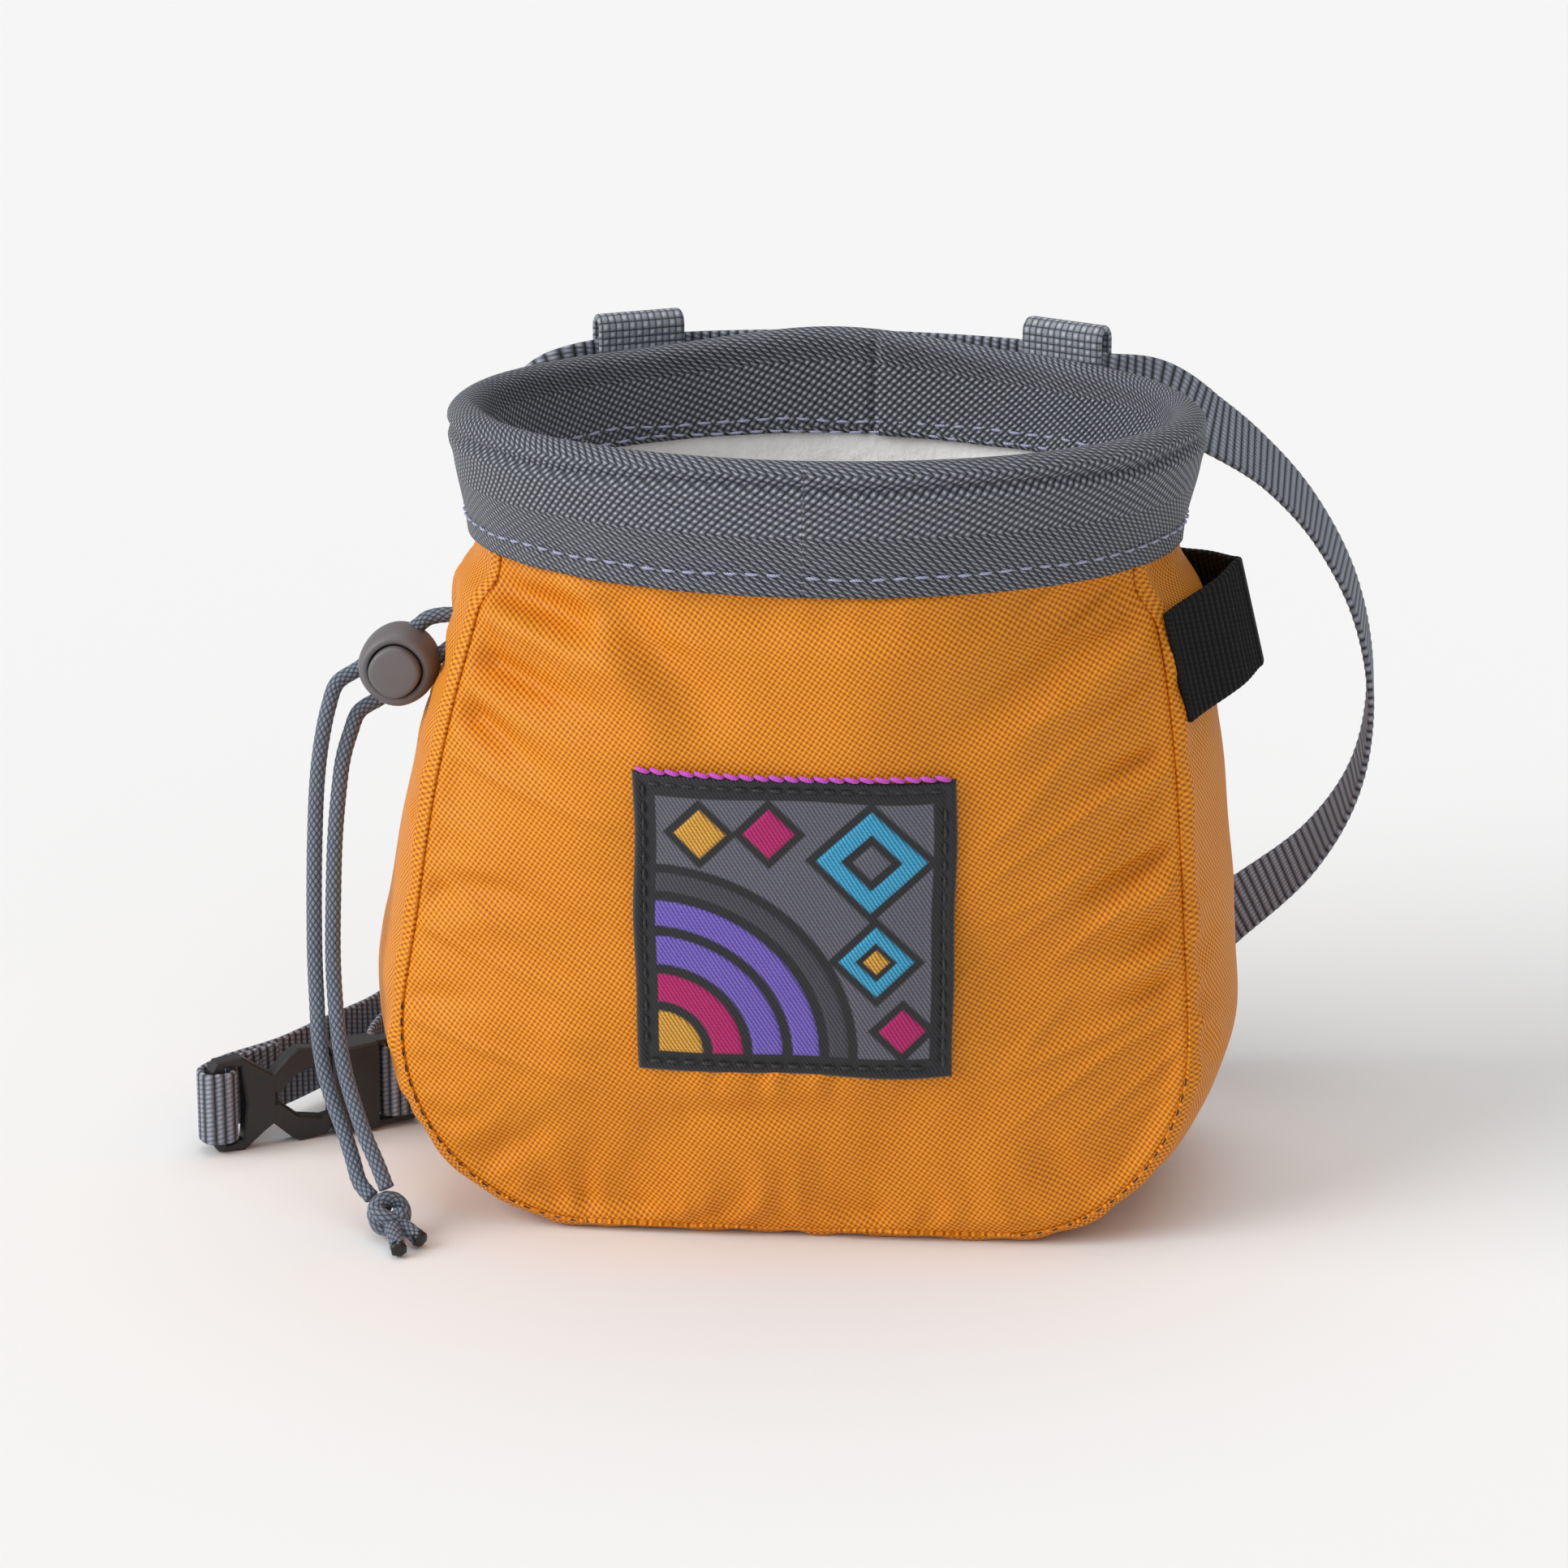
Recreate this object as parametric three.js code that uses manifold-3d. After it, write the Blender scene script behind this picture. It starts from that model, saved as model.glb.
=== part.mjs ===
// A climbing chalk bag: a round-mouthed fabric bucket with a webbing rim, fleece lining, waist belt,
// side-release buckle, brush loop, front label and a closing cord with a spring cord lock.
// Millimetres, +Z up, the floor at z = 0, the front panel faces -Y, the belt's arc is on +X.
import * as THREE from 'three';
import { mergeVertices } from 'three/addons/utils/BufferGeometryUtils.js';
import Module from 'manifold-3d';

const wasm = await Module();
wasm.setup();

// Clearances
const gap = 0.3;
const seamGap = 0.18;

// Bag body
const rimHeight = 157;
const rimHalfWidth = 72;
const rimHalfDepth = 52.5;
const seamHalfWidth = 76;
const baseHalfDepth = 38;
const cornerRadius = 37;
const gussetBulge = 7.8;
const seamRise = 1.8;
const shellThickness = 1.0;
const liningThickness = 2.2;
const liningHemThickness = 1.5;
const liningHemGap = 0.6;
const shellHemGap = 0.45;
const liningInset = 3.6;
const liningFloorGap = 0.5;
const liningHemDrop = 2;
const liningDish = 0.2;
const liningTurn = 84;
const liningBulge = 0.8;

// Rim webbing, folded over the lip
const bandHeight = 25;
const bandInnerHeight = 20.5;
const bandThickness = 1.2;
const lipRoom = 4.5;
const lipPeak = 3.5;
const lipPeakWidth = 26;
// The shell follows the rim's ellipse from this far below the band's edge up
const hemTuck = 0.6;

// Belt, its loops and the brush loop
const beltWidth = 15;
const beltThickness = 1.3;
const loopWidth = 18;
const loopThickness = 1.5;
const leftLoopX = -40;
const rightLoopX = 43;
const loopTopRise = 6.5;
const loopDrop = 19;
const loopSlack = 0.55;
const loopRound = 0.45;
const beltDrop = 6;
const beltLevelShare = 0.96;
const brushLoopWidth = 22;
const brushLoopThickness = 1.5;
const brushLoopReach = 8.5;
const brushLoopLevel = 113;
const brushLoopSeat = 0.9;
const brushLoopSpan = 0.98;
const brushLoopSteps = 19;

// Buckle, standing on its long edge
const buckleWidth = 20;
const buckleOut = 45.4;
const buckleY = -3.9;
const buckleTurn = 30;
const maleThickness = 3.4;
const femaleThickness = 6.4;
const maleBarLength = 3;
const strapSlot = 3.4;
const femaleStart = 25.5;
const femaleBody = 9.5;
const femaleBarLength = 5.5;
const neckLength = 3.2;
const armShare = 0.46;
const plateChamfer = 0.4;
const cutChamfer = 0.05;
const slotSlack = 0.7;
const buckleEdge = 0.9;

// Label
const labelWidth = 60;
const labelHeight = 60;
const labelLevel = 67.5;
const labelShift = 0.3;
const labelThickness = 1.2;
const labelLift = 0.45;

// Cord lock, its button and the cords
const lockStandOff = 11.08;
const lockY = -2;
const lockZ = 103.4;
const lockRadius = 7.8;
const lockDepth = 13;
const lockFrontShare = 0.52;
const lockSides = 20;
const buttonRadius = 5;
const buttonDepth = 3.4;
const buttonProud = 1.9;
const buttonTravel = 3;
const buttonClearance = 0.3;
const stemRadius = 1.1;
const stemShare = 0.62;
const stemSides = 8;
const cordDiameter = 3;
const cordSpacing = 7.2;
const cordSetBack = 1.2;
const cordTilt = 37;
const cordHoleClearance = 0.3;
const cordSides = 8;
const boreSides = 10;
const knotRadius = 4.4;
const floorClearance = 0.35;
const slitLevel = 107;
const pinchDepth = 4.6;
const pinchRadius = 11;

// Sections of the body from the base up. level is a share of rimHeight, lean of seamHalfWidth, seam of
// seamHalfWidth, bulge of what the gusset bulges beyond seamRise, seamDepth of baseHalfDepth, and front
// and back of rimHalfDepth.
const sections = [
  { level: 0.000, lean: 0.000, seam: 1.000, bulge: 0.00, seamDepth: 1.00, front: 0.731, back: 0.731 },
  { level: 0.012, lean: 0.000, seam: 1.000, bulge: 0.00, seamDepth: 1.00, front: 0.735, back: 0.735 },
  { level: 0.050, lean: -0.008, seam: 1.000, bulge: 0.35, seamDepth: 0.98, front: 0.775, back: 0.775 },
  { level: 0.127, lean: -0.016, seam: 1.000, bulge: 0.82, seamDepth: 0.93, front: 0.835, back: 0.830 },
  { level: 0.248, lean: -0.018, seam: 1.000, bulge: 1.00, seamDepth: 0.87, front: 0.905, back: 0.880 },
  { level: 0.395, lean: -0.006, seam: 0.971, bulge: 1.00, seamDepth: 0.83, front: 0.952, back: 0.910 },
  { level: 0.535, lean: 0.006, seam: 0.940, bulge: 0.92, seamDepth: 0.79, front: 0.975, back: 0.930 },
  { level: 0.637, lean: 0.018, seam: 0.908, bulge: 0.88, seamDepth: 0.75, front: 0.990, back: 0.945 },
  { level: 0.770, lean: 0.030, seam: 0.848, bulge: 0.95, seamDepth: 0.66, front: 0.995, back: 0.960 },
  { level: 0.840, lean: 0.026, seam: 0.800, bulge: 0.80, seamDepth: 0.62, front: 0.960, back: 0.960 },
  { level: 1.000, lean: 0.028, seam: 0.800, bulge: 0.80, seamDepth: 0.62, front: 0.960, back: 0.960 },
];

// Outside of the rim ring. level is a share of rimHeight, wide of rimHalfWidth, deep of rimHalfDepth.
const rimSections = [
  { level: 0.700, wide: 0.952, deep: 0.990 },
  { level: 0.830, wide: 0.955, deep: 0.990 },
  { level: 0.870, wide: 0.965, deep: 0.994 },
  { level: 0.930, wide: 0.992, deep: 1.000 },
  { level: 0.975, wide: 1.007, deep: 1.000 },
  { level: 1.000, wide: 1.000, deep: 0.996 },
];

// Main folds of the shell. side and level are shares of seamHalfWidth and rimHeight for the fold's two
// ends, width is a share of rimHeight and depth one of shellThickness, sunk where it is negative.
const folds = [
  { side: -0.86, level: 0.795, side2: -0.38, level2: 0.765, width: 0.030, depth: -2.2 },
  { side: -0.86, level: 0.740, side2: -0.48, level2: 0.735, width: 0.028, depth: 1.4 },
  { side: -0.86, level: 0.690, side2: -0.55, level2: 0.665, width: 0.026, depth: -1.7 },
  { side: 0.90, level: 0.800, side2: 0.48, level2: 0.700, width: 0.036, depth: -1.9 },
  { side: 0.86, level: 0.735, side2: 0.55, level2: 0.650, width: 0.036, depth: 1.2 },
  { side: 0.96, level: 0.585, side2: 0.70, level2: 0.570, width: 0.026, depth: -1.3 },
  { side: 0.98, level: 0.450, side2: 0.74, level2: 0.475, width: 0.028, depth: -1.4 },
  { side: 0.98, level: 0.370, side2: 0.76, level2: 0.390, width: 0.026, depth: -1.1 },
  { side: -0.20, level: 0.180, side2: 0.22, level2: 0.185, width: 0.030, depth: -1.0 },
];

// How far the rim's blend into the panels reaches below the band, a share of rimHeight
const blendShare = 0.07;
// Where the front and back seams meet the rim's ellipse, a share of its half width
const rimSeamShare = 0.89;
// How the panels crown and the gusset bulges between their seams
const panelPower = 2.3;
const gussetPower = 2.0;
const gussetFlat = 0.72;

// Mesh densities
const cornerSteps = 5;
const sideSteps = 13;
const hemSteps = 2;
const frontColumns = 16;
const backColumns = 14;
const baseColumns = 6;
const ringSteps = 48;
const lipSteps = 4;
const liningSteps = 36;
const liningUpperSteps = 5;
const liningLowerSteps = 4;
const labelSteps = 6;
const beltSpanSteps = 2;
// Steps that a surface's normal is taken over: a share of its width, and a height
const normalShare = 0.02;
const normalRise = 0.4;

const materialOf = (color, roughness, metalness = 0) =>
  new THREE.MeshStandardMaterial({ color, roughness, metalness, side: THREE.DoubleSide });
const shellNylon = materialOf(0xde8c24, 0.55);
const greyWebbing = materialOf(0x62666f, 0.8);
const whiteFleece = materialOf(0xebe8e4, 0.95);
const blackWebbing = materialOf(0x151515, 0.85);
const blackPlastic = materialOf(0x232325, 0.45);
const greyPlastic = materialOf(0x646164, 0.5);
const labelWeave = materialOf(0x3a3a40, 0.8);
const slateCord = materialOf(0x555f6e, 0.8);

const bag = new THREE.Group();

// Adds a named piece to a group
function addPiece(name, geometry, material, parent = bag) {
  const mesh = new THREE.Mesh(geometry, material);
  mesh.name = name;
  parent.add(mesh);
  return mesh;
}

const degrees = (angle) => THREE.MathUtils.degToRad(angle);
const mix = THREE.MathUtils.lerp;

// A smooth value of one column of a table at a key, with no overshoot between rows
function columnAt(rows, key, column, at) {
  let i = 0;
  while (i < rows.length - 2 && at > rows[i + 1][key]) i += 1;
  const slope = (a, b) => (rows[b][column] - rows[a][column]) / (rows[b][key] - rows[a][key]);
  const tangent = (k) => {
    if (k === 0 || k === rows.length - 1) return 0;
    const before = slope(k - 1, k);
    const after = slope(k, k + 1);
    return before * after <= 0 ? 0 : (2 * before * after) / (before + after);
  };
  const span = rows[i + 1][key] - rows[i][key];
  const t = THREE.MathUtils.clamp((at - rows[i][key]) / span, 0, 1);
  const h00 = (1 + 2 * t) * (1 - t) ** 2;
  const h10 = t * (1 - t) ** 2;
  const h01 = t * t * (3 - 2 * t);
  const h11 = t * t * (t - 1);
  const ends = h00 * rows[i][column] + h01 * rows[i + 1][column];
  return ends + span * (h10 * tangent(i) + h11 * tangent(i + 1));
}

const sectionAt = (z, column) => columnAt(sections, 'level', column, z / rimHeight);
const leanAt = (z) => sectionAt(z, 'lean') * seamHalfWidth;

// Signed volume of an indexed triangle list
function volumeOf(points, triangles) {
  let volume = 0;
  for (const [a, b, c] of triangles) {
    volume += points[a].dot(new THREE.Vector3().crossVectors(points[b], points[c])) / 6;
  }
  return volume;
}

// A closed geometry with its faces pointing out
function closedGeometry(points, triangles) {
  const flip = volumeOf(points, triangles) < 0;
  const geometry = new THREE.BufferGeometry();
  geometry.setFromPoints(points);
  geometry.setIndex(triangles.flatMap(([a, b, c]) => (flip ? [a, c, b] : [a, b, c])));
  geometry.computeVertexNormals();
  return geometry;
}

// A wall between two grids of points, grid[row][column], with its edges closed. A closed wall joins its
// last column to its first.
function wallGeometry(outer, inner, closed = false) {
  const rows = outer.length;
  const columns = outer[0].length;
  const points = [...outer.flat(), ...inner.flat()];
  const outside = (i, j) => i * columns + (j % columns);
  const inside = (i, j) => rows * columns + i * columns + (j % columns);
  const triangles = [];
  const quad = (a, b, c, d) => triangles.push([a, b, c], [a, c, d]);
  const lastColumn = closed ? columns : columns - 1;
  for (let i = 0; i < rows - 1; i += 1) {
    for (let j = 0; j < lastColumn; j += 1) {
      quad(outside(i, j), outside(i, j + 1), outside(i + 1, j + 1), outside(i + 1, j));
      quad(inside(i, j), inside(i + 1, j), inside(i + 1, j + 1), inside(i, j + 1));
    }
  }
  for (let j = 0; j < lastColumn; j += 1) {
    quad(outside(0, j), inside(0, j), inside(0, j + 1), outside(0, j + 1));
    quad(outside(rows - 1, j), outside(rows - 1, j + 1), inside(rows - 1, j + 1), inside(rows - 1, j));
  }
  if (!closed) {
    for (let i = 0; i < rows - 1; i += 1) {
      quad(outside(i, 0), outside(i + 1, 0), inside(i + 1, 0), inside(i, 0));
      const last = columns - 1;
      quad(outside(i, last), inside(i, last), inside(i + 1, last), outside(i + 1, last));
    }
  }
  return closedGeometry(points, triangles);
}

// A pot between two stacks of closed rings, from its open top to a closed bottom centre
function potGeometry(outer, inner, outerCentre, innerCentre) {
  const rows = outer.length;
  const columns = outer[0].length;
  const points = [...outer.flat(), ...inner.flat(), outerCentre, innerCentre];
  const outside = (i, j) => i * columns + (j % columns);
  const inside = (i, j) => rows * columns + i * columns + (j % columns);
  const bottomOut = 2 * rows * columns;
  const bottomIn = bottomOut + 1;
  const triangles = [];
  const quad = (a, b, c, d) => triangles.push([a, b, c], [a, c, d]);
  for (let j = 0; j < columns; j += 1) {
    for (let i = 0; i < rows - 1; i += 1) {
      quad(outside(i, j), outside(i, j + 1), outside(i + 1, j + 1), outside(i + 1, j));
      quad(inside(i, j), inside(i + 1, j), inside(i + 1, j + 1), inside(i, j + 1));
    }
    quad(outside(0, j), inside(0, j), inside(0, j + 1), outside(0, j + 1));
    triangles.push([outside(rows - 1, j), outside(rows - 1, j + 1), bottomOut]);
    triangles.push([inside(rows - 1, j + 1), inside(rows - 1, j), bottomIn]);
  }
  return closedGeometry(points, triangles);
}

// A bar through a row of closed rings with its two ends capped
function loftGeometry(rings) {
  const sides = rings[0].length;
  const points = rings.flat();
  const at = (i, j) => i * sides + (j % sides);
  const triangles = [];
  for (let i = 0; i < rings.length - 1; i += 1) {
    for (let j = 0; j < sides; j += 1) {
      triangles.push([at(i, j), at(i, j + 1), at(i + 1, j + 1)]);
      triangles.push([at(i, j), at(i + 1, j + 1), at(i + 1, j)]);
    }
  }
  const last = rings.length - 1;
  for (let j = 1; j < sides - 1; j += 1) {
    triangles.push([at(0, 0), at(0, j + 1), at(0, j)], [at(last, 0), at(last, j), at(last, j + 1)]);
  }
  return closedGeometry(points, triangles);
}

// A webbing strap along stations of centre and width direction
function strapGeometry(stations, width, thickness) {
  const rings = stations.map((station, i) => {
    const before = stations[Math.max(i - 1, 0)].centre;
    const after = stations[Math.min(i + 1, stations.length - 1)].centre;
    const along = after.clone().sub(before).normalize();
    const across = station.across.clone().addScaledVector(along, -station.across.dot(along)).normalize();
    const face = new THREE.Vector3().crossVectors(along, across);
    return [[-1, -1], [1, -1], [1, 1], [-1, 1]].map(([a, f]) => station.centre.clone()
      .addScaledVector(across, a * width / 2)
      .addScaledVector(face, f * thickness / 2));
  });
  return loftGeometry(rings);
}

// A solid for cutting and joining, made from a geometry
function solidOf(geometry) {
  const bare = new THREE.BufferGeometry();
  bare.setAttribute('position', geometry.getAttribute('position').clone());
  if (geometry.index) bare.setIndex(geometry.index.clone());
  const merged = mergeVertices(bare, 1e-4);
  const place = merged.getAttribute('position');
  const points = Array.from({ length: place.count },
    (_, i) => new THREE.Vector3().fromBufferAttribute(place, i));
  const corners = Array.from(merged.index.array);
  const triangles = [];
  for (let i = 0; i < corners.length; i += 3) {
    const [a, b, c] = corners.slice(i, i + 3);
    if (a !== b && b !== c && c !== a) triangles.push([a, b, c]);
  }
  const closed = closedGeometry(points, triangles);
  return new wasm.Manifold(new wasm.Mesh({
    numProp: 3,
    vertProperties: new Float32Array(closed.getAttribute('position').array),
    triVerts: new Uint32Array(closed.index.array),
  }));
}

// The geometry of a solid
function geometryOf(solid) {
  const mesh = solid.getMesh();
  const geometry = new THREE.BufferGeometry();
  geometry.setAttribute('position', new THREE.BufferAttribute(new Float32Array(mesh.vertProperties), 3));
  geometry.setIndex(new THREE.BufferAttribute(new Uint32Array(mesh.triVerts), 1));
  geometry.computeVertexNormals();
  return geometry;
}

const rimWide = (z) => columnAt(rimSections, 'level', 'wide', z / rimHeight) * rimHalfWidth;
const rimDeep = (z) => columnAt(rimSections, 'level', 'deep', z / rimHeight) * rimHalfDepth;

// A point of the rim ring at an angle from the front, moved in from the band's outside by an inset
function rimPoint(angle, z, inset) {
  const wide = rimWide(z);
  const deep = rimDeep(z);
  const normal = new THREE.Vector3(Math.sin(angle) / wide, -Math.cos(angle) / deep, 0).normalize();
  return new THREE.Vector3(leanAt(z) + wide * Math.sin(angle), -deep * Math.cos(angle), z)
    .addScaledVector(normal, -inset);
}

// How far the lip rises at the back, above its plain height
function lipRise(x, y) {
  return y > 0 ? lipPeak * Math.exp(-((x / lipPeakWidth) ** 2)) : 0;
}

const shellTop = rimHeight - bandThickness - gap - lipRoom;
const bandLow = rimHeight - bandHeight;
const shellInset = bandThickness + shellHemGap;
const arcTop = cornerRadius + seamRise;
const hemLevel = bandLow - hemTuck;

// Half width of the seam line at a height, round at its lower corners
function seamAt(z) {
  const wide = sectionAt(Math.max(z, arcTop), 'seam') * seamHalfWidth;
  if (z >= arcTop) return wide;
  const drop = Math.min(arcTop - z, cornerRadius);
  return wide - cornerRadius + Math.sqrt(cornerRadius ** 2 - drop ** 2);
}

// 1 on the panels, 0 on the rim's ellipse
function panelShare(z) {
  return 1 - THREE.MathUtils.smoothstep(z, hemLevel - blendShare * rimHeight, hemLevel);
}

// How far the folds move the shell out at a place, side is x and level is z
function foldAt(x, z) {
  let move = 0;
  for (const fold of folds) {
    const from = new THREE.Vector2(fold.side * seamHalfWidth, fold.level * rimHeight);
    const to = new THREE.Vector2(fold.side2 * seamHalfWidth, fold.level2 * rimHeight);
    const line = to.clone().sub(from);
    const place = new THREE.Vector2(x, z).sub(from);
    const share = THREE.MathUtils.clamp(place.dot(line) / line.lengthSq(), -0.2, 1.2);
    const off = place.clone().addScaledVector(line, -share).length() / (fold.width * rimHeight);
    const fade = Math.exp(-(((share - 0.35) / 0.6) ** 2));
    move += fold.depth * shellThickness * fade * Math.exp(-off * off);
  }
  return move * panelShare(z + 1);
}

// A point of the front (facing -1) or back (facing 1) panel, across from -1 to 1 at a height
function panelPoint(facing, across, z) {
  const half = seamAt(z);
  const seamDepth = sectionAt(z, 'seamDepth') * baseHalfDepth;
  const crown = sectionAt(z, facing < 0 ? 'front' : 'back') * rimHalfDepth;
  const depth = seamDepth + (crown - seamDepth) * (1 - Math.abs(across) ** panelPower);
  const panel = new THREE.Vector3(leanAt(z) + half * across, facing * depth, z);
  const side = Math.asin(THREE.MathUtils.clamp(across * rimSeamShare, -1, 1));
  const ring = rimPoint(facing < 0 ? side : Math.PI - side, z, shellInset);
  const point = ring.lerp(panel, panelShare(z));
  if (facing < 0) point.y -= foldAt(point.x, z) * (1 - Math.abs(across) ** 8);
  return point;
}

// A station of the gusset's outline at a height: the seam's half width there and the way it faces
function outlineStation(z, outX = 1, outZ = 0) {
  return { z, half: seamAt(z), outX, outZ };
}

const sideRows = [];
for (let i = 0; i <= cornerSteps; i += 1) {
  const turn = (i / cornerSteps) * Math.PI / 2;
  const z = seamRise + cornerRadius * (1 - Math.cos(turn));
  sideRows.push(outlineStation(z, Math.sin(turn), -Math.cos(turn)));
}
for (let i = 1; i <= sideSteps; i += 1) sideRows.push(outlineStation(mix(arcTop, hemLevel, i / sideSteps)));
for (let i = 1; i <= hemSteps; i += 1) sideRows.push(outlineStation(mix(hemLevel, shellTop, i / hemSteps)));

// How far the closing cord pulls the left gusset in round its slit
function pinchAt(y, z) {
  const away = ((y - cordSetBack - lockY) ** 2 + (z - slitLevel) ** 2) / pinchRadius ** 2;
  return pinchDepth * Math.exp(-away);
}

// A point of the gusset at a station on a side (-1 left, 1 right), from the front (-1) to the back (1)
function gussetPoint(side, station, along) {
  const { z, half, outX, outZ } = station;
  const seamDepth = sectionAt(z, 'seamDepth') * baseHalfDepth;
  const bulge = seamRise + sectionAt(z, 'bulge') * (gussetBulge - seamRise);
  const round = 1 - Math.abs(along) ** gussetPower;
  const flat = Math.min(1, (1 - Math.abs(along)) / (1 - gussetFlat));
  const lift = bulge * mix(round, flat, outZ ** 4);
  const body = new THREE.Vector3(
    leanAt(z) + side * (half + lift * outX), along * seamDepth, z + lift * outZ);
  if (side < 0) body.x += pinchAt(body.y, z) * outX;
  const seamAngle = Math.asin(rimSeamShare);
  const angle = Math.acos(-along * Math.cos(seamAngle));
  const ring = rimPoint(side * angle, z, shellInset);
  return ring.lerp(body, panelShare(z));
}

// The outward normal of a panel, away from the bag's middle
function panelNormal(facing, across, z) {
  const acrossNear = THREE.MathUtils.clamp(across, -1 + normalShare, 1 - normalShare);
  const zNear = Math.max(z, seamRise + normalRise);
  const wide = panelPoint(facing, acrossNear + normalShare, zNear)
    .sub(panelPoint(facing, acrossNear - normalShare, zNear));
  const tall = panelPoint(facing, acrossNear, zNear + normalRise)
    .sub(panelPoint(facing, acrossNear, zNear - normalRise));
  const normal = new THREE.Vector3().crossVectors(wide, tall).normalize();
  return normal.y * facing < 0 ? normal.negate() : normal;
}

// The outward normal of the gusset at a row of a side
function gussetNormal(side, row, along) {
  const alongNear = THREE.MathUtils.clamp(along, -1 + normalShare, 1 - normalShare);
  const station = sideRows[row];
  const deep = gussetPoint(side, station, alongNear + normalShare)
    .sub(gussetPoint(side, station, alongNear - normalShare));
  const upper = sideRows[Math.min(row + 1, sideRows.length - 1)];
  const lower = sideRows[Math.max(row - 1, 0)];
  const tall = gussetPoint(side, upper, alongNear).sub(gussetPoint(side, lower, alongNear));
  const normal = new THREE.Vector3().crossVectors(deep, tall).normalize();
  if (row === 0) normal.set(0, 0, -1);
  const outward = new THREE.Vector3(side * station.outX, 0, station.outZ);
  return normal.dot(outward) < 0 ? normal.negate() : normal;
}

// The inner point under a seam, where two walls of one thickness meet in a mitre
function mitre(point, normalA, normalB) {
  const sum = normalA.clone().add(normalB);
  return point.clone().addScaledVector(sum, -shellThickness / (1 + normalA.dot(normalB)));
}

function panelGeometry(facing, columns) {
  const outer = [];
  const inner = [];
  sideRows.forEach((station, row) => {
    const outerRow = [];
    const innerRow = [];
    const lowest = row === 0;
    for (let j = 0; j <= columns; j += 1) {
      const edge = j === 0 || j === columns;
      const limit = 1 - seamGap / station.half;
      const across = THREE.MathUtils.clamp((2 * j) / columns - 1, -limit, limit);
      const point = panelPoint(facing, across, station.z);
      const normal = panelNormal(facing, across, station.z);
      if (lowest) point.z += seamGap;
      let under = point.clone().addScaledVector(normal, -shellThickness);
      if (edge) under = mitre(point, normal, gussetNormal(Math.sign(across), row, facing));
      if (lowest && !edge) under = mitre(point, normal, new THREE.Vector3(0, 0, -1));
      outerRow.push(point);
      innerRow.push(under);
    }
    outer.push(outerRow);
    inner.push(innerRow);
  });
  return wallGeometry(outer, inner);
}

function gussetGeometry() {
  const shares = [-1, -gussetFlat, -gussetFlat / 2, 0, gussetFlat / 2, gussetFlat, 1];
  const outer = [];
  const inner = [];
  const addRow = (pointAt, normalAt, panelNormalAt) => {
    const outerRow = [];
    const innerRow = [];
    for (const share of shares) {
      const edge = Math.abs(share) === 1;
      const along = edge ? share * (1 - seamGap / baseHalfDepth) : share;
      const point = pointAt(along);
      const normal = normalAt(share);
      outerRow.push(point);
      innerRow.push(edge
        ? mitre(point, normal, panelNormalAt(share))
        : point.clone().addScaledVector(normal, -shellThickness));
    }
    outer.push(outerRow);
    inner.push(innerRow);
  };
  const addSideRow = (side, row) => addRow(
    (along) => gussetPoint(side, sideRows[row], along),
    (along) => gussetNormal(side, row, along),
    (facing) => panelNormal(facing, side, sideRows[row].z));
  for (let row = sideRows.length - 1; row >= 0; row -= 1) addSideRow(-1, row);
  const floorStation = sideRows[0];
  for (let i = 1; i < baseColumns; i += 1) {
    const x = mix(-floorStation.half, floorStation.half, i / baseColumns);
    addRow(
      (along) => gussetPoint(1, { ...floorStation, half: x }, along),
      () => new THREE.Vector3(0, 0, -1),
      (facing) => panelNormal(facing, x / floorStation.half, floorStation.z));
  }
  for (let row = 0; row < sideRows.length; row += 1) addSideRow(1, row);
  return wallGeometry(outer, inner);
}

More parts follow.
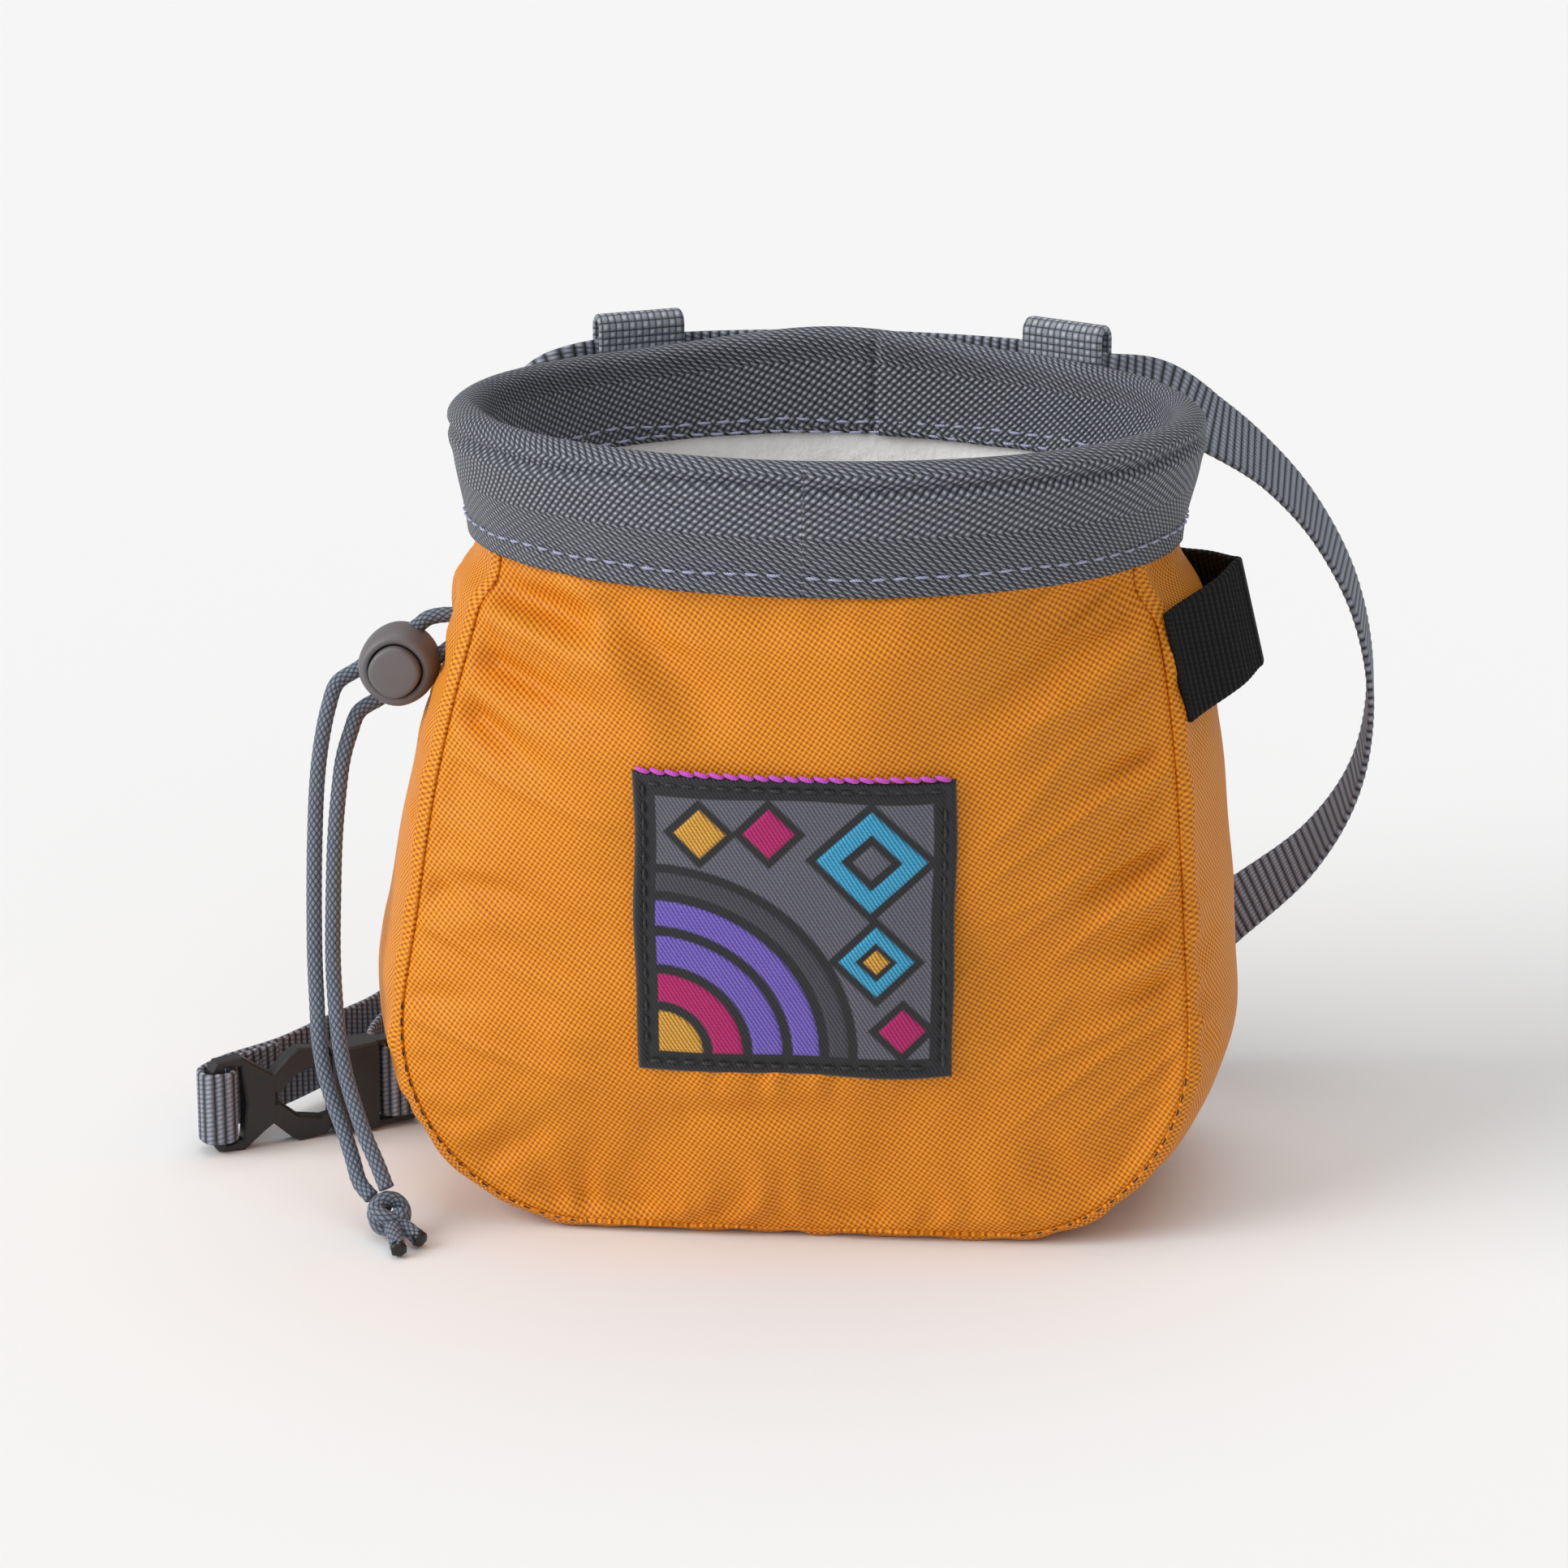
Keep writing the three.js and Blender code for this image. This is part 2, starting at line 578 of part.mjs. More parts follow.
// The fleece lining, a pot inside the shell
function liningGeometry() {
  const top = shellTop - liningHemDrop;
  const floorRise = liningInset + liningFloorGap;
  const turnRadius = cornerRadius - floorRise;
  const levels = [];
  levels.push(top, hemLevel);
  for (let i = 1; i <= liningUpperSteps; i += 1) levels.push(mix(hemLevel, arcTop, i / liningUpperSteps));
  const turnStart = levels.length - 1;
  for (let i = 1; i <= liningLowerSteps; i += 1) {
    const turn = (i / liningLowerSteps) * degrees(liningTurn);
    levels.push(arcTop - turnRadius * Math.sin(turn));
  }
  const ringAt = (z, extra) => {
    const drop = Math.min(Math.max(arcTop - z, 0), turnRadius);
    const wideIn = drop > 0 ? turnRadius - Math.sqrt(turnRadius ** 2 - drop ** 2) : 0;
    const below = mix(shellThickness + liningHemGap, liningInset, panelShare(z)) + extra;
    const lower = floorRise * Math.max(0, 1 - (z - seamRise - floorRise) / (2 * floorRise));
    const ring = [];
    for (let j = 0; j < liningSteps; j += 1) {
      const angle = (j / liningSteps) * 2 * Math.PI;
      const rim = rimPoint(angle, z, shellInset + below);
      const seamAngle = Math.asin(rimSeamShare);
      const facing = Math.cos(angle) > 0 ? -1 : 1;
      const seamDepth = sectionAt(z, 'seamDepth') * baseHalfDepth;
      const half = sectionAt(Math.max(z, arcTop), 'seam') * seamHalfWidth;
      let body;
      if (Math.abs(Math.cos(angle)) >= Math.cos(seamAngle)) {
        const across = Math.sin(angle) / rimSeamShare;
        const crown = sectionAt(z, facing < 0 ? 'front' : 'back') * rimHalfDepth;
        const depth = seamDepth + (crown - seamDepth) * (1 - Math.abs(across) ** panelPower);
        body = new THREE.Vector3(across * (half - below - wideIn), facing * (depth - below - lower), z);
      } else {
        const side = Math.sign(Math.sin(angle));
        const along = -Math.cos(angle) / Math.cos(seamAngle);
        const bulge = liningBulge * gussetBulge * sectionAt(z, 'bulge') * (1 - along ** 2);
        const out = half + bulge - below - wideIn;
        body = new THREE.Vector3(side * out, along * (seamDepth - below - lower), z);
        if (side < 0) body.x += pinchAt(body.y, z);
      }
      body.x += leanAt(z);
      ring.push(rim.lerp(body, panelShare(z)));
    }
    return ring;
  };
  const outer = levels.map((z) => ringAt(z, 0));
  const inner = levels.map((z, i) => {
    const share = THREE.MathUtils.clamp((i - turnStart) / liningLowerSteps, 0, 1);
    const thickness = mix(liningHemThickness, liningThickness, panelShare(z));
    return ringAt(z, thickness).map((p) => p.setZ(p.z + liningThickness * share));
  });
  const low = levels[levels.length - 1];
  return potGeometry(outer, inner, new THREE.Vector3(0, 0, low - liningDish),
    new THREE.Vector3(0, 0, low + liningThickness - liningDish));
}

// The rim band goes up the outside, over the lip and down the inside, round these layers
const sandwich = 2 * bandThickness + shellHemGap + 2 * liningHemGap + shellThickness + liningHemThickness;

// Shares of the way from the band's edges up to its lip
const outerBandShares = [0, 0.3, 0.6, 0.82];
const innerBandShares = [0.6, 0];

// The band's path across its section: an inset from the outside and a height, for a layer depth
function bandPath(depth) {
  const lipRadius = sandwich / 2 - depth;
  const lipCentre = rimHeight - sandwich / 2;
  const path = [];
  for (const share of outerBandShares) path.push([depth, mix(bandLow, lipCentre, share)]);
  for (let i = 0; i <= lipSteps; i += 1) {
    const turn = Math.PI * (i / lipSteps);
    path.push([sandwich / 2 - lipRadius * Math.cos(turn), lipCentre + lipRadius * Math.sin(turn)]);
  }
  for (const share of innerBandShares) {
    path.push([sandwich - depth, mix(rimHeight - bandInnerHeight, lipCentre, share)]);
  }
  return path;
}

function bandGeometry() {
  const surface = (depth) => bandPath(depth).map(([inset, height]) => {
    const ring = [];
    for (let j = 0; j < ringSteps; j += 1) {
      const angle = (j / ringSteps) * 2 * Math.PI;
      const point = rimPoint(angle, Math.min(height, rimHeight), inset);
      const share = THREE.MathUtils.smoothstep(height, bandLow, rimHeight);
      point.z = height + lipRise(point.x, point.y) * share;
      ring.push(point);
    }
    return ring;
  });
  return wallGeometry(surface(0), surface(bandThickness), true);
}

addPiece('front_panel', panelGeometry(-1, frontColumns), shellNylon);
addPiece('back_panel', panelGeometry(1, backColumns), shellNylon);
addPiece('fleece_lining', liningGeometry(), whiteFleece);
addPiece('rim_band', bandGeometry(), greyWebbing);

// The cord lock stands off the left gusset. Its own directions are along the cords and between them.
const lockAlong = lockY / (sectionAt(lockZ, 'seamDepth') * baseHalfDepth);
const lockX = gussetPoint(-1, outlineStation(lockZ), lockAlong).x - lockStandOff;
const lockCentre = new THREE.Vector3(lockX, lockY, lockZ);
const cordWay = new THREE.Vector3(-Math.cos(degrees(cordTilt)), 0, -Math.sin(degrees(cordTilt)));
const cordAside = new THREE.Vector3(-Math.sin(degrees(cordTilt)), 0, Math.cos(degrees(cordTilt)));

// A straight round bar between two points
function barGeometry(from, to, radius, sides) {
  const length = from.distanceTo(to);
  const bar = new THREE.CylinderGeometry(radius, radius, length, sides);
  bar.rotateZ(-Math.PI / 2);
  const way = to.clone().sub(from).normalize();
  const turn = new THREE.Quaternion().setFromUnitVectors(new THREE.Vector3(1, 0, 0), way);
  bar.applyQuaternion(turn);
  const middle = from.clone().add(to).multiplyScalar(0.5);
  bar.translate(middle.x, middle.y, middle.z);
  return bar;
}

// The middle of one cord in the lock, on one side (-1 or 1) of the button's stem and behind its well
function cordMiddle(side) {
  return lockCentre.clone()
    .addScaledVector(cordAside, side * cordSpacing / 2)
    .addScaledVector(new THREE.Vector3(0, 1, 0), cordSetBack);
}

// The bore of one cord through the lock
function cordBore(side, reach) {
  const middle = cordMiddle(side);
  return barGeometry(middle.clone().addScaledVector(cordWay, -reach),
    middle.clone().addScaledVector(cordWay, reach), cordDiameter / 2 + cordHoleClearance, boreSides);
}

// Cord lock: a rounded drum whose axis faces the front, bored for the button, its stem and two cords.
// radius is a share of lockRadius and depth one of lockDepth.
const lockFront = lockY - lockFrontShare * lockDepth;
const lockBack = 1 - lockFrontShare;
const lockProfile = [
  { radius: 0.00, depth: -lockFrontShare },
  { radius: 0.80, depth: -lockFrontShare },
  { radius: 0.86, depth: -0.46 },
  { radius: 0.95, depth: -0.32 },
  { radius: 1.00, depth: -0.14 },
  { radius: 1.00, depth: 0.12 },
  { radius: 0.88, depth: 0.36 },
  { radius: 0.66, depth: lockBack },
  { radius: 0.00, depth: lockBack },
].map(({ radius, depth }) => new THREE.Vector2(radius * lockRadius, depth * lockDepth));
const lockDrum = new THREE.LatheGeometry(lockProfile, lockSides);
lockDrum.translate(lockX, lockY, lockZ);
const wellDepth = buttonDepth - buttonProud + buttonTravel + gap;
const frontCentre = new THREE.Vector3(lockX, lockFront, lockZ);
const inward = new THREE.Vector3(0, 1, 0);
const well = solidOf(barGeometry(frontCentre.clone().addScaledVector(inward, -buttonProud),
  frontCentre.clone().addScaledVector(inward, wellDepth), buttonRadius + buttonClearance, lockSides));
const stemLength = stemShare * lockDepth;
const stemBore = solidOf(barGeometry(frontCentre,
  frontCentre.clone().addScaledVector(inward, stemLength + buttonTravel + gap),
  stemRadius + buttonClearance, boreSides));
const lockSolid = solidOf(lockDrum)
  .subtract(well)
  .subtract(stemBore)
  .subtract(solidOf(cordBore(1, 2 * lockRadius)))
  .subtract(solidOf(cordBore(-1, 2 * lockRadius)));
addPiece('cord_lock_body', geometryOf(lockSolid), greyPlastic);

// Push button: a crowned disc with a stem that slides between the cords. radius is a share of
// buttonRadius and depth one of buttonDepth.
const buttonProfile = [
  { radius: 0.00, depth: 0.00 },
  { radius: 1.00, depth: 0.00 },
  { radius: 1.00, depth: 0.72 },
  { radius: 0.93, depth: 0.90 },
  { radius: 0.75, depth: 1.00 },
  { radius: 0.00, depth: 1.04 },
].map(({ radius, depth }) => new THREE.Vector2(radius * buttonRadius, -depth * buttonDepth));
const buttonDisc = new THREE.LatheGeometry(buttonProfile, lockSides);
const buttonBack = lockFront - buttonProud + buttonDepth;
buttonDisc.translate(lockX, buttonBack, lockZ);
const stem = barGeometry(new THREE.Vector3(lockX, buttonBack - buttonDepth / 2, lockZ),
  new THREE.Vector3(lockX, lockFront + stemLength, lockZ), stemRadius, stemSides);
addPiece('cord_lock_button', geometryOf(solidOf(buttonDisc).add(solidOf(stem))), greyPlastic);

// The cords' routes, chosen by hand, each point [x from the lock's centre, y, z]. Each cord enters through
// the gusset, runs straight through its bore in the lock, and hangs down to the knot on the floor.
const cordDepth = lockY + cordSetBack;
const cordInsideA = [[13.7, cordDepth, 112.2], [10.3, cordDepth, 112.9]];
const cordInsideB = [[13.7, cordDepth, 107.4]];
const cordRouteA = [
  [-12.5, -2.4, 98.9], [-13.9, -5, 94.7], [-14.8, -8, 89.2], [-15.4, -11, 82.0], [-15.5, -15, 71.1],
  [-15.2, -19, 61.1], [-14.7, -23, 49.1], [-14.0, -26, 41.7], [-13.2, -29, 34.2], [-11.9, -31, 28.1],
  [-10.0, -33, 22.9], [-7.7, -35.2, 17.9], [-5.7, -37.6, 13.2], [-3.9, -40.3, 9.3], [-1.4, -42.1, 7.2],
];
const cordRouteB = [
  [-8.3, -2.4, 93.2], [-9.7, -5, 89.6], [-10.7, -8, 85.4], [-11.1, -11, 80.4], [-11.5, -15, 71.2],
  [-11.4, -19, 61.2], [-11.1, -23, 49.3], [-10.3, -26.4, 41.8], [-9.1, -29.7, 34.4],
  [-7.5, -32.4, 28.3], [-5.5, -35.2, 23.4], [-3.1, -37.9, 18.2], [-0.5, -40.4, 13.6], [1.7, -42.7, 9.4],
];
const cordStep = 2.2 * cordDiameter;
const cordEndSteps = 4;
// Where a cord's line is fixed along its bore, shares of lockRadius from the lock's middle
const boreShares = [-1.25, -0.9, 0, 0.6, 1.05];

// A round tube along one cord's way: in from the gusset, through its bore, then along its route
function cordTube(side, inside, route, radius) {
  const middle = cordMiddle(side);
  const placed = (rows) => rows.map(([x, y, z]) => new THREE.Vector3(lockX + x, y, z));
  const bore = boreShares.map((share) => middle.clone().addScaledVector(cordWay, share * lockRadius));
  const points = [...placed(inside), ...bore, ...placed(route)];
  const curve = new THREE.CatmullRomCurve3(points, false, 'centripetal');
  const section = new THREE.Shape();
  for (let i = 0; i < cordSides; i += 1) {
    const angle = (i / cordSides) * 2 * Math.PI;
    const place = [Math.cos(angle) * radius, Math.sin(angle) * radius];
    if (i === 0) section.moveTo(...place);
    else section.lineTo(...place);
  }
  section.closePath();
  const steps = Math.round(curve.getLength() / cordStep) + cordEndSteps;
  return new THREE.ExtrudeGeometry(section, { steps, extrudePath: curve, bevelEnabled: false });
}

addPiece('drawcord_a', cordTube(1, cordInsideA, cordRouteA, cordDiameter / 2), slateCord);
addPiece('drawcord_b', cordTube(-1, cordInsideB, cordRouteB, cordDiameter / 2), slateCord);

// The gusset, with the two holes of the slit that the cords leave through
const slitRadius = cordDiameter / 2 + cordHoleClearance;
const slit = solidOf(cordTube(1, cordInsideA, [], slitRadius))
  .add(solidOf(cordTube(-1, cordInsideB, [], slitRadius)));
addPiece('gusset', geometryOf(solidOf(gussetGeometry()).subtract(slit)), shellNylon);

// The knot: two crossing turns of cord round a core, with two cut tails on the floor. Its x is from the
// lock's centre. spin and lean are degrees, aside and ahead are shares of knotRadius.
const knotCentre = new THREE.Vector3(lockX + 2.3, -44.3, knotRadius + floorClearance);
const knotTurns = [
  { spin: 25, lean: 60 },
  { spin: -35, lean: 55 },
];
const tailEnds = [
  { aside: 0.82, ahead: 2.43 },
  { aside: 1.59, ahead: 1.20 },
];
const knotCoreShare = 0.92;
const knotTurnShare = 0.68;
const knotTurnThickness = 0.95;

function knotGeometry() {
  const core = new THREE.SphereGeometry(knotCoreShare * knotRadius, 8, 5);
  core.translate(knotCentre.x, knotCentre.y, knotCentre.z);
  let knot = solidOf(core);
  for (const { spin, lean } of knotTurns) {
    const thickness = knotTurnThickness * cordDiameter / 2;
    const turn = new THREE.TorusGeometry(knotTurnShare * knotRadius, thickness, 5, 9);
    turn.rotateX(degrees(lean));
    turn.rotateZ(degrees(spin));
    turn.translate(knotCentre.x, knotCentre.y, knotCentre.z);
    knot = knot.add(solidOf(turn));
  }
  for (const { aside, ahead } of tailEnds) {
    const end = new THREE.Vector3(knotCentre.x + aside * knotRadius, knotCentre.y - ahead * knotRadius,
      cordDiameter / 2 + floorClearance);
    knot = knot.add(solidOf(barGeometry(knotCentre.clone().lerp(end, 0.15), end, cordDiameter / 2, 6)));
  }
  return geometryOf(knot);
}

addPiece('cord_knot', knotGeometry(), slateCord);

// Label on the front panel
function labelGeometry() {
  const outer = [];
  const inner = [];
  for (let i = 0; i <= labelSteps; i += 1) {
    const z = labelLevel + labelHeight * (i / labelSteps - 0.5);
    const outerRow = [];
    const innerRow = [];
    for (let j = 0; j <= labelSteps; j += 1) {
      const x = labelShift + labelWidth * (j / labelSteps - 0.5);
      const across = (x - leanAt(z)) / seamAt(z);
      const point = panelPoint(-1, across, z);
      const normal = panelNormal(-1, across, z);
      innerRow.push(point.clone().addScaledVector(normal, labelLift));
      outerRow.push(point.clone().addScaledVector(normal, labelLift + labelThickness));
    }
    outer.push(outerRow);
    inner.push(innerRow);
  }
  return wallGeometry(outer, inner);
}

addPiece('woven_label', labelGeometry(), labelWeave);

// A closed shape through points of [across, up]
function shapeOf(points) {
  const shape = new THREE.Shape();
  points.forEach(([u, h], i) => (i === 0 ? shape.moveTo(u, h) : shape.lineTo(u, h)));
  shape.closePath();
  return shape;
}

// The belt passes through the loops, closed hoops of webbing on the outside of the rim at the back
const loopInner = beltThickness + 2 * loopSlack;

// The rim's outside at the back, at an x from its middle: where it is and the way it faces
function rimBack(x) {
  const z = beltLevelShare * rimHeight;
  const angle = Math.PI - Math.asin(x / rimWide(z));
  const place = rimPoint(angle, z, 0);
  const outward = rimPoint(angle, z, -1).sub(place).setZ(0).normalize();
  return { place, outward };
}

function beltLoopGeometry(x) {
  const { place, outward } = rimBack(x);
  const high = rimHeight + loopTopRise;
  const low = rimHeight - loopDrop;
  const depth = loopInner + 2 * loopThickness;
  const round = loopRound * depth;
  const foot = round / 2;
  const hoop = new THREE.Shape();
  hoop.moveTo(0, low + foot);
  hoop.lineTo(0, high - round);
  hoop.quadraticCurveTo(0, high, round, high);
  hoop.lineTo(depth - round, high);
  hoop.quadraticCurveTo(depth, high, depth, high - round);
  hoop.lineTo(depth, low + foot);
  hoop.quadraticCurveTo(depth, low, depth - foot, low);
  hoop.lineTo(foot, low);
  hoop.quadraticCurveTo(0, low, 0, low + foot);
  const tunnel = shapeOf([
    [loopThickness, low + loopThickness], [loopThickness, high - loopThickness],
    [depth - loopThickness, high - loopThickness], [depth - loopThickness, low + loopThickness],
  ]);
  const outside = new THREE.ExtrudeGeometry(hoop,
    { depth: loopWidth, bevelEnabled: false, curveSegments: 4 });
  const inside = new THREE.ExtrudeGeometry(tunnel, { depth: 2 * loopWidth, bevelEnabled: false });
  inside.translate(0, 0, -loopWidth / 2);
  const geometry = geometryOf(solidOf(outside).subtract(solidOf(inside)));
  geometry.translate(gap, 0, -loopWidth / 2);
  geometry.rotateX(Math.PI / 2);
  geometry.rotateZ(Math.atan2(outward.y, outward.x));
  geometry.translate(place.x, place.y, 0);
  return geometry;
}

addPiece('belt_loop_left', beltLoopGeometry(leftLoopX), greyWebbing);
addPiece('belt_loop_right', beltLoopGeometry(rightLoopX), greyWebbing);

// The buckle's own frame: u along it from the male's strap bar, v towards the front, and up
const buckleX = -(seamHalfWidth + buckleOut);
const buckleU = new THREE.Vector3(Math.cos(degrees(buckleTurn)), Math.sin(degrees(buckleTurn)), 0);
const buckleV = new THREE.Vector3(Math.sin(degrees(buckleTurn)), -Math.cos(degrees(buckleTurn)), 0);
const buckleMiddle = buckleWidth / 2;

function bucklePlace(u, v, z = buckleMiddle) {
  return new THREE.Vector3(buckleX, buckleY, z).addScaledVector(buckleU, u).addScaledVector(buckleV, v);
}

// Extrudes a shape drawn in u and height by a thickness, centred on the buckle's plane
function bucklePlate(shape, thickness, chamfer = plateChamfer) {
  const geometry = new THREE.ExtrudeGeometry(shape, {
    depth: thickness - 2 * chamfer,
    bevelEnabled: true,
    bevelThickness: chamfer,
    bevelSize: chamfer,
    bevelOffset: -chamfer,
    bevelSegments: 1,
    curveSegments: 5,
  });
  geometry.translate(0, 0, -(thickness - 2 * chamfer) / 2);
  const basis = new THREE.Matrix4().makeBasis(buckleU, new THREE.Vector3(0, 0, 1), buckleV);
  geometry.applyMatrix4(basis);
  geometry.translate(buckleX, buckleY, buckleMiddle);
  return geometry;
}

// Mirrors the upper half of an outline, [u, height] from left to right, to a closed one
const mirrored = (upper) => [...upper, ...upper.slice().reverse().map(([u, h]) => [u, -h])];

const buckleHalf = buckleWidth / 2;
const armHalf = armShare * buckleWidth;
const frameLength = maleBarLength + strapSlot + neckLength;
const bodyEnd = femaleStart + femaleBody;
const barEnd = bodyEnd + strapSlot + femaleBarLength;

// Upper half of the male frame. along is a share of frameLength and half one of buckleHalf.
const maleFrame = [
  { along: 0.000, half: 0.78 },
  { along: 0.125, half: 0.96 },
  { along: 0.688, half: 1.00 },
  { along: 1.156, half: 0.66 },
  { along: 1.417, half: 0.50 },
];

// The strap's slot in the male frame. slots is a share of strapSlot past the bar and half one of its
// half length.
const maleSlot = [
  { slots: 0.00, half: -1.00 },
  { slots: 1.00, half: -0.96 },
  { slots: 1.26, half: 0.00 },
  { slots: 1.00, half: 0.96 },
  { slots: 0.00, half: 1.00 },
];

// One sprung arm. free is a share of the way from frameLength to femaleStart, into one of femaleBody
// and half one of armHalf.
const maleArm = [
  { free: 0.063, into: 0.000, half: 0.109 },
  { free: 0.314, into: 0.000, half: 0.130 },
  { free: 0.566, into: 0.000, half: 0.500 },
  { free: 0.874, into: 0.000, half: 0.609 },
  { free: 1.000, into: 0.790, half: 0.413 },
  { free: 1.000, into: 0.790, half: 0.652 },
  { free: 1.000, into: 0.053, half: 0.761 },
  { free: 0.937, into: 0.000, half: 1.000 },
  { free: 0.560, into: 0.000, half: 1.087 },
  { free: 0.440, into: 0.000, half: 0.957 },
  { free: 0.189, into: 0.000, half: 0.543 },
];

// Male half: strap bar, slot and neck, with two sprung arms whose pads bulge out before the female half
function maleSolid() {
  const frame = shapeOf(mirrored(maleFrame.map(({ along, half }) =>
    [along * frameLength, half * buckleHalf])));
  const slotHalf = beltWidth / 2 + slotSlack;
  frame.holes.push(shapeOf(maleSlot.map(({ slots, half }) =>
    [maleBarLength + slots * strapSlot, half * slotHalf])));
  let solid = solidOf(bucklePlate(frame, maleThickness));
  for (const side of [-1, 1]) {
    const arm = shapeOf(maleArm.map(({ free, into, half }) =>
      [mix(frameLength, femaleStart, free) + into * femaleBody, side * half * armHalf]));
    solid = solid.add(solidOf(bucklePlate(arm, maleThickness - 2 * cutChamfer)));
  }
  return solid;
}

// Upper half of the female half. along is its place and half a share of buckleHalf.
const femaleOutline = [
  { along: femaleStart, half: 0.88 },
  { along: bodyEnd - buckleEdge, half: 0.94 },
  { along: bodyEnd + buckleEdge, half: 0.91 },
  { along: barEnd - buckleEdge, half: 0.91 },
  { along: barEnd, half: 0.82 },
];

// Its hollow, open towards the male half. half is a share of armHalf.
const femaleCavity = [
  { along: femaleStart - buckleEdge, half: 0.85 },
  { along: bodyEnd - 1.5 * buckleEdge, half: 0.79 },
];

// Female half: a hollow box open towards the male half, and a wide strap bar behind a slot
function femaleSolid() {
  const outline = (rows, whole) => shapeOf(mirrored(rows.map(({ along, half }) => [along, half * whole])));
  const slotHalf = beltWidth / 2 + slotSlack;
  const slot = outline([{ along: bodyEnd, half: 1 }, { along: bodyEnd + strapSlot, half: 1 }], slotHalf);
  const trim = outline([{ along: bodyEnd, half: 1 }, { along: barEnd + buckleEdge, half: 1 }], buckleWidth);
  let solid = solidOf(bucklePlate(outline(femaleOutline, buckleHalf), femaleThickness))
    .subtract(solidOf(bucklePlate(slot, 2 * femaleThickness, cutChamfer)))
    .subtract(solidOf(bucklePlate(outline(femaleCavity, armHalf), maleThickness + 2 * gap, cutChamfer)));
  for (const side of [-1, 1]) {
    const cut = bucklePlate(trim, femaleThickness - maleThickness, cutChamfer);
    const move = buckleV.clone().multiplyScalar(side * femaleThickness / 2);
    cut.translate(move.x, move.y, move.z);
    solid = solid.subtract(solidOf(cut));
  }
  return solid;
}

addPiece('buckle_male', geometryOf(maleSolid()), blackPlastic);
addPiece('buckle_female', geometryOf(femaleSolid()), blackPlastic);

// The belt's route. tilt turns its width from upright (0) to lying back (90).
const beltMiddle = rimHeight - beltDrop;
const wrap = maleThickness / 2 + beltThickness / 2 + gap;

// A turn round a strap bar: slots is a share of strapSlot, bars of the bar's length and wraps of wrap
const turnRound = (rows, start, barLength) => rows.map(({ slots, bars, wraps }) =>
  ({ point: bucklePlace(start + slots * strapSlot + bars * barLength, wraps * wrap), tilt: 0 }));

// Free lengths: side is a share of seamHalfWidth, back of rimHalfDepth, and rise of the way from the
// belt standing on the floor up to its height at the rim
const freeRoute = (rows) => rows.map(({ side, back, rise, tilt }) => ({
  point: new THREE.Vector3(side * seamHalfWidth, back * rimHalfDepth, mix(beltWidth / 2, beltMiddle, rise)),
  tilt,
}));

// Round the male half's bar: its sewn tail first, then over the bar and away behind
const maleTurn = turnRound([
  { slots: 4.41, bars: 1.00, wraps: -3.85 },
  { slots: 2.65, bars: 1.00, wraps: -3.06 },
  { slots: 1.29, bars: 1.00, wraps: -2.38 },
  { slots: 0.59, bars: 1.00, wraps: -1.36 },
  { slots: 0.52, bars: 1.00, wraps: 0.00 },
  { slots: 0.38, bars: 1.00, wraps: 0.81 },
  { slots: 0.00, bars: 0.93, wraps: 1.04 },
  { slots: 0.00, bars: 0.40, wraps: 1.00 },
  { slots: 0.00, bars: -0.20, wraps: 0.81 },
  { slots: 0.00, bars: -0.45, wraps: 0.11 },
  { slots: 0.00, bars: -0.33, wraps: -0.98 },
  { slots: 0.00, bars: 0.53, wraps: -1.89 },
  { slots: 0.71, bars: 1.00, wraps: -2.79 },
], 0, maleBarLength);

// Behind the bag, from the buckle up to the left loop
const leftRoute = freeRoute([
  { side: -1.461, back: 0.314, rise: 0.0174, tilt: 0 },
  { side: -1.362, back: 0.571, rise: 0.0174, tilt: 0 },
  { side: -1.243, back: 0.876, rise: 0.0188, tilt: 0 },
  { side: -1.138, back: 1.029, rise: 0.0488, tilt: 0 },
  { side: -1.053, back: 1.095, rise: 0.1220, tilt: 0 },
  { side: -0.993, back: 1.105, rise: 0.2334, tilt: 0 },
  { side: -0.947, back: 1.086, rise: 0.3659, tilt: 0 },
  { side: -0.908, back: 1.048, rise: 0.5052, tilt: 0 },
  { side: -0.868, back: 0.981, rise: 0.6446, tilt: 0 },
  { side: -0.839, back: 0.914, rise: 0.7700, tilt: 0 },
  { side: -0.820, back: 0.848, rise: 0.8606, tilt: 0 },
  { side: -0.796, back: 0.796, rise: 0.9268, tilt: 0 },
  { side: -0.755, back: 0.770, rise: 0.9693, tilt: 0 },
]);

// Through the loops, along the outside of the rim. aside is a share of the loop's place on its side, and
// along a way past it in line with the webbing there, a share of loopWidth.
const rimRoute = [
  { aside: -1, along: -0.85, drop: 1.2 },
  { aside: -1, along: -0.5, drop: 0.1 },
  { aside: -1, along: 0, drop: 0 },
  { aside: -1, along: 0.55, drop: 0 },
  { aside: -0.42, along: 0, drop: 0 },
  { aside: 0, along: 0, drop: 0 },
  { aside: 0.42, along: 0, drop: 0 },
  { aside: 1, along: -0.55, drop: 0 },
  { aside: 1, along: 0, drop: 0 },
  { aside: 1, along: 0.55, drop: 0.4 },
].map(({ aside, along, drop }) => {
  const { place, outward } = rimBack(aside < 0 ? -aside * leftLoopX : aside * rightLoopX);
  const off = gap + loopThickness + loopSlack + beltThickness / 2;
  const tangent = new THREE.Vector3(outward.y, -outward.x, 0);
  const point = place.clone().addScaledVector(outward, off).addScaledVector(tangent, along * loopWidth);
  return { point: point.setZ(beltMiddle - drop), tilt: 0 };
});

